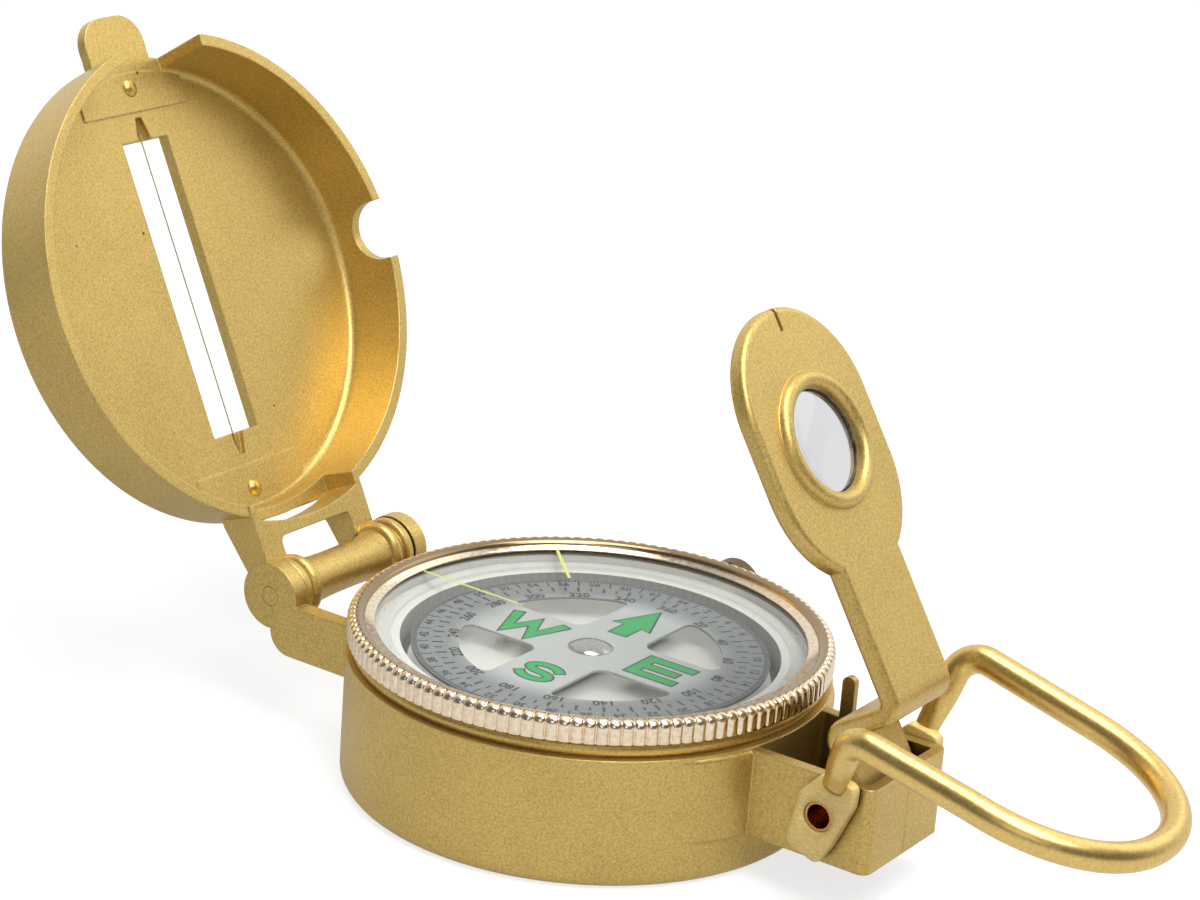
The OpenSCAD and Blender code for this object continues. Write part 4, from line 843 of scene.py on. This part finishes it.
@dataclass
class Dial:
    """The print on the floating card: scales, numbers, three letters and the north arrow.

    A scale is its number of ticks, the first one's bearing, its two radii and the ticks' width.
    Letters are given by the middle lines of their strokes, and the arrow by its outline.
    """

    looks: Looks
    top: float = 16.45
    ink_lift: float = 0.012
    paint_lift: float = 0.02
    stroke_step: float = 0.001
    edge: float = 0.22
    bold: float = 0.03
    least_mitre: float = 0.45
    scales: tuple[tuple[int, float, float, float, float], ...] = (
        (320, 0.0, 19.95, 20.52, 0.2), (32, 5.625, 18.6, 20.5, 0.2),
        (36, 5.0, 17.2, 18.0, 0.26), (36, 0.0, 16.9, 18.2, 0.32))
    degrees_r: float = 15.85
    degrees_h: float = 1.3
    mils_r: float = 19.2
    mils_h: float = 1.1
    w_half: float = 0.6
    w_strokes: tuple = (((-12.0, 2.3), (-10.5, -2.2), (-8.8, 1.5), (-7.1, -2.2), (-5.6, 2.3)),)
    e_half: float = 0.62
    e_strokes: tuple = (((12.4, 2.2), (7.2, 2.2), (7.2, -2.2), (12.4, -2.2)), ((7.4, 0.0), (11.4, 0.0)))
    s_half: float = 0.5
    s_bowl: tuple[float, float] = (1.85, 1.05)
    s_middles: tuple[float, float] = (-8.95, -11.05)
    arrow: tuple = ((-1.15, 5.4), (1.15, 5.4), (1.15, 8.6), (2.45, 8.3), (0, 14.3), (-2.45, 8.3),
                    (-1.15, 8.6))
    arrow_edge: tuple = ((-0.2, -0.2), (0.2, -0.2), (0.2, -0.15), (0.35, -0.2), (0, 0.5), (-0.35, -0.2),
                         (-0.2, -0.15))

    def lay(self, name: str, parts: list[Shape], finish: str = "dial_ink") -> None:
        """Makes one flat piece of print.

        Args:
            name: name of the piece.
            parts: its points and faces.
            finish: name of its finish.
        """
        new_piece(name, *joined(parts), Body.CARD, "card_plastic", self.looks[finish], smooth=False)

    def bars(self, count: int, first: float, near: float, far: float, width: float) -> Shape:
        """Radial ticks, each a flat quad between two radii.

        Args:
            count: number of ticks round the card.
            first: bearing of the first in degrees, clockwise from +Y.
            near: inner radius.
            far: outer radius.
            width: width of a tick.

        Returns:
            Points and faces.
        """
        a = np.radians(90 - (np.arange(count) * (360 / count) + first))[:, None]
        r = np.array([near, near, far, far])
        s = np.array([-0.5, 0.5, 0.5, -0.5]) * width
        z = np.full((count, 4), self.top + self.ink_lift)
        points = np.stack([r * np.cos(a) + s * np.sin(a), r * np.sin(a) - s * np.cos(a), z], axis=-1)
        return points.reshape(-1, 3), triangles(np.arange(count * 4).reshape(-1, 4)[:, ::-1])

    def number(self, words: str, angle: float, middle_r: float, height: float) -> Shape:
        """One number with its top turned outwards.

        The glyphs are scaled to the height and moved by x = r sin b + u cos b, y = r cos b - u sin b.

        Args:
            words: the digits.
            angle: its bearing in degrees.
            middle_r: radius of the number's middle.
            height: height of its digits.

        Returns:
            Points and faces.
        """
        curve = bpy.data.curves.new("digits", "FONT")
        curve.body, curve.align_x, curve.align_y = words, "CENTER", "CENTER"
        curve.resolution_u, curve.offset = 3, self.bold
        holder = bpy.data.objects.new("digits", curve)
        mesh = bpy.data.meshes.new_from_object(holder)
        mesh.calc_loop_triangles()
        flat = np.empty(len(mesh.vertices) * 3, np.float32)
        faces = np.empty(len(mesh.loop_triangles) * 3, np.int32)
        mesh.vertices.foreach_get("co", flat)
        mesh.loop_triangles.foreach_get("vertices", faces)
        bpy.data.objects.remove(holder)
        bpy.data.meshes.remove(mesh)
        bpy.data.curves.remove(curve)
        xy = flat.reshape(-1, 3)[:, :2].astype(float)
        u, v = ((xy - (xy.max(0) + xy.min(0)) / 2) * height / np.ptp(xy[:, 1])).T
        r, sin, cos = middle_r + v, math.sin(math.radians(angle)), math.cos(math.radians(angle))
        z = np.full(len(xy), self.top + self.ink_lift)
        return np.stack([r * sin + u * cos, r * cos - u * sin, z], axis=-1), faces.reshape(-1, 3)

    def ribbon(self, path: tuple, half: float, lift: float) -> Shape:
        """A painted stroke: the path moved half its width to both sides, with mitred corners.

        Args:
            path: points of the stroke's middle line.
            half: half of its width.
            lift: height above the card.

        Returns:
            Points and faces.
        """
        p = np.array(path, float)
        d = unit(np.diff(p, axis=0))
        before, after = np.vstack([d[:1], d]), np.vstack([d, d[-1:]])
        both = before + after
        normal = unit(np.stack([-both[:, 1], both[:, 0]], axis=-1))
        own = np.stack([-before[:, 1], before[:, 0]], axis=-1)
        mitre = half / np.clip(np.einsum("ij,ij->i", normal, own), self.least_mitre, 1)[:, None]
        p[0] -= d[0] * half
        p[-1] += d[-1] * half
        rows = np.stack([p + normal * mitre, p - normal * mitre], axis=1)
        z = np.full(rows.shape[:2] + (1,), self.top + lift)
        return np.concatenate([rows, z], axis=-1).reshape(-1, 3), triangles(grid_faces(len(p), 2))

    def letter(self, name: str, strokes: tuple, half: float) -> None:
        """Paints a letter in green over a wider black one.

        Args:
            name: name of the piece.
            strokes: middle lines of its strokes.
            half: half of a stroke's width.
        """
        self.lay(name + "_edge", [self.ribbon(s, half + self.edge, self.ink_lift) for s in strokes])
        self.lay(name, [self.ribbon(s, half, self.paint_lift + self.stroke_step * i)
                        for i, s in enumerate(strokes)], "dial_green")

    def build(self) -> None:
        """Prints the scales, numbers, letters and arrow."""
        self.lay("dial_ticks", [self.bars(*scale) for scale in self.scales])
        self.lay("dial_degrees", [self.number(str(n), n, self.degrees_r, self.degrees_h)
                                  for n in range(20, 361, 20)])
        self.lay("dial_mils", [self.number(str(2 * n), 11.25 * n, self.mils_r, self.mils_h)
                               for n in range(1, 33)])
        self.letter("letter_w", self.w_strokes, self.w_half)
        self.letter("letter_e", self.e_strokes, self.e_half)
        t = np.radians([np.linspace(20, 265, 14), np.linspace(85, -160, 14)])
        bowls = np.stack([self.s_bowl[0] * np.cos(t),
                          np.array(self.s_middles)[:, None] + self.s_bowl[1] * np.sin(t)], axis=-1)
        self.letter("letter_s", (np.delete(bowls.reshape(-1, 2), 14, axis=0),), self.s_half)
        self.paint_arrow()

    def paint_arrow(self) -> None:
        """Paints the north arrow in green over a wider black one."""
        faces = np.array([[0, 1, 2], [0, 2, 6], [6, 2, 4], [2, 3, 4], [6, 4, 5]])
        wider = np.add(self.arrow, self.arrow_edge)
        for name, outline, lift, finish in (("north_arrow_edge", wider, self.ink_lift, "dial_ink"),
                                            ("north_arrow", self.arrow, self.paint_lift, "dial_green")):
            z = np.full((len(outline), 1), self.top + lift)
            self.lay(name, [(np.concatenate([outline, z], axis=1), faces)], finish)


@dataclass
class Dressing:
    """Gives each carried-over CAD node its finish, and adds the small marks of the casting."""

    looks: Looks
    box_x: float = 42.7
    box_low: float = 5.2
    box_high: float = 15.2
    seam_margin: float = 0.1
    seam_half: float = 0.15
    seam_sway: float = 0.05
    seam_sunk: float = 0.02
    seam_proud: float = 0.09

    def dress(self, nodes: dict[str, bpy.types.Object]) -> None:
        """Sets the finish in every slot of each CAD node.

        Args:
            nodes: the CAD nodes by name.
        """
        for name, node in nodes.items():
            node.data.materials.clear()
            node.data.materials.append(self.looks[DRESS[name]])
            LOG.info("%s: dressed in %s", name, DRESS[name])

    def seam(self) -> None:
        """The casting's parting line down the lens box's rear wall, a low rounded ridge."""
        low, high = self.box_low + self.seam_margin, self.box_high - self.seam_margin
        z, v, height = rounded_strip(low, high, 24, self.seam_sunk, self.seam_proud)
        y = self.seam_half * v + self.seam_sway * np.sin(z)
        points = np.stack([self.box_x + height, y, z], axis=-1).reshape(-1, 3)
        new_piece("box_seam", points, grid_faces(*z.shape)[:, ::-1], Body.CASE, "gold_paint",
                  self.looks["gold_paint"])


@dataclass
class Studio:
    """Camera, lamps, floor and white surroundings, in degrees and metres.

    A lamp is its name, where it hangs, the point it faces, its width and height, and its power
    in watts.
    """

    azimuth: float = 33.568
    elevation: float = 19.087
    roll: float = 4.476
    focal: float = 96.56
    place: tuple[float, float, float] = (0.18822, -0.28488, 0.15880)
    lamps: tuple = (
        ("top", (0.05, 0.02, 0.75), (0, 0, 0.02), (0.45, 0.45), 3.1),
        ("side", (0.23, -0.11, 0.47), (-0.05, 0, 0.05), (0.24, 0.24), 1.3),
        ("back", (0.16, 0.30, 0.30), (-0.05, 0, 0.05), (0.36, 0.24), 0.22),
        ("front", (0.30, -0.55, 0.30), (0, 0, 0.02), (0.30, 0.30), 0.35))
    bright_way: tuple[float, float, float] = (-0.50, 0.80, -0.10)
    room_reach: tuple[float, float] = (-0.40, 0.60)
    room_levels: tuple[float, float] = (0.14, 1.0)
    sky_reach: tuple[float, float] = (-0.2, 0.9)
    sky_levels: tuple[float, float] = (0.18, 0.78)
    floor_radii: tuple[float, ...] = (0.001, 0.2, 0.6, 1.5)
    floor_points: int = 96
    floor_z: float = -0.00002
    floor_greys: tuple[float, float] = (0.29, 0.31)
    floor_lift: float = 0.74
    mirror_reach: tuple[float, float] = (-0.12, 0.06)
    mirror_levels: tuple[float, float] = (0.32, 0.62)

    def camera(self) -> None:
        """Sets up the camera from its azimuth, elevation and roll."""
        a, e, r = (math.radians(v) for v in (self.azimuth, self.elevation, self.roll))
        back = Vector((math.sin(a) * math.cos(e), -math.cos(a) * math.cos(e), math.sin(e)))
        right = Vector((math.cos(a), math.sin(a), 0))
        up = back.cross(right)
        axes = (right * math.cos(r) + up * math.sin(r), up * math.cos(r) - right * math.sin(r), back)
        data = bpy.data.cameras.new("camera")
        data.lens, data.sensor_width, data.clip_start, data.clip_end = self.focal, 36.0, 0.01, 10.0
        holder = linked("camera", data)
        holder.matrix_world = Matrix.Translation(self.place) @ Matrix(axes).transposed().to_4x4()
        bpy.context.scene.camera = holder

    def hang_lamps(self) -> None:
        """Hangs the soft rectangular lamps."""
        for name, place, target, size, power in self.lamps:
            data = bpy.data.lights.new(name, "AREA")
            data.shape, data.size, data.size_y, data.energy = "RECTANGLE", *size, power
            holder = linked(name, data)
            holder.location = place
            way = Vector(target) - Vector(place)
            holder.rotation_euler = way.to_track_quat("-Z", "Y").to_euler()

    def surroundings(self) -> None:
        """White for the camera, and for the compass a room that is brighter behind it and above."""
        world = bpy.data.worlds.new("surroundings")
        bpy.context.scene.world = world
        world.use_nodes = True
        g = Graph(world.node_tree)
        way = g.add("TexCoord").outputs["Generated"]
        facing = g.vector("DOT_PRODUCT", way, self.bright_way)["Value"]
        room = g.remap(facing, *self.room_reach, *self.room_levels)
        height = g.add("SeparateXYZ", {0: way}).outputs["Z"]
        sky = g.remap(height, *self.sky_reach, *self.sky_levels)
        path = g.add("LightPath").outputs
        seen = g.math("MAXIMUM", path["Is Glossy Ray"], path["Is Transmission Ray"])
        level = g.math("ADD", sky, g.math("MULTIPLY", seen, g.math("SUBTRACT", room, sky)))
        g.feed(world.node_tree.nodes["Background"], {
            "Color": (1, 1, 1, 1), "Strength": g.math("MAXIMUM", level, path["Is Camera Ray"])})

    def floor_material(self) -> bpy.types.Material:
        """White paper for the camera, with its shadow, and dimmer paper in reflections.

        Returns:
            The material.
        """
        material, g, shader = principled("floor_white")
        place = g.place()
        greys = [(level,) * 3 for level in self.floor_greys]
        across = g.add("SeparateXYZ", {0: place}).outputs["X"]
        mirrored = g.remap(across, *self.mirror_reach, *self.mirror_levels)
        path = g.add("LightPath").outputs
        glossy = g.math("MULTIPLY", path["Is Glossy Ray"], mirrored)
        indirect = g.math("MAXIMUM", glossy, path["Is Transmission Ray"])
        seen = g.math("MAXIMUM", path["Is Camera Ray"], indirect)
        g.feed(shader, {
            "Roughness": 0.9, "Specular IOR Level": 0.0, "Emission Color": (1, 1, 1, 1),
            "Base Color": g.blend(g.noise(place, 40.0), *greys),
            "Emission Strength": g.math("MULTIPLY", seen, self.floor_lift)})
        return material

    def floor(self) -> None:
        """Lays a round floor just under the compass."""
        count = self.floor_points
        turn = np.linspace(0, 2 * math.pi, count, endpoint=False)
        radii = np.array(self.floor_radii)[:, None]
        z = np.full((len(radii), count), self.floor_z)
        points = np.stack([radii * np.cos(turn), radii * np.sin(turn), z], axis=-1).reshape(-1, 3)
        faces = grid_faces(len(radii), count, close_columns=True).tolist()
        mesh = bpy.data.meshes.new("floor")
        mesh.from_pydata(points.tolist(), [], faces + [list(range(count))])
        mesh.update()
        mesh.materials.append(self.floor_material())
        linked("floor", mesh)

    def build(self) -> None:
        """Sets the whole stage."""
        self.camera()
        self.hang_lamps()
        self.surroundings()
        self.floor()
        bpy.context.scene.view_settings.view_transform = "Standard"


def plain(box: tuple) -> list[list[float]]:
    """A box's lowest and highest corner as lists of numbers."""
    return [[float(v) for v in corner] for corner in box]


def main() -> None:
    """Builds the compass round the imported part, from the case out to the studio."""
    logging.basicConfig(level=logging.INFO, format="%(name)s %(message)s")
    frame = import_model()
    looks = make_looks()
    dressing = Dressing(looks)
    dressing.dress(frame["nodes"])
    dressing.seam()
    bezel = Bezel(looks)
    bezel.build()
    bezel.paint_lines()
    Dial(looks).build()
    ThumbRing(looks).build()
    Studio().build()


if __name__ == "__main__":
    main()
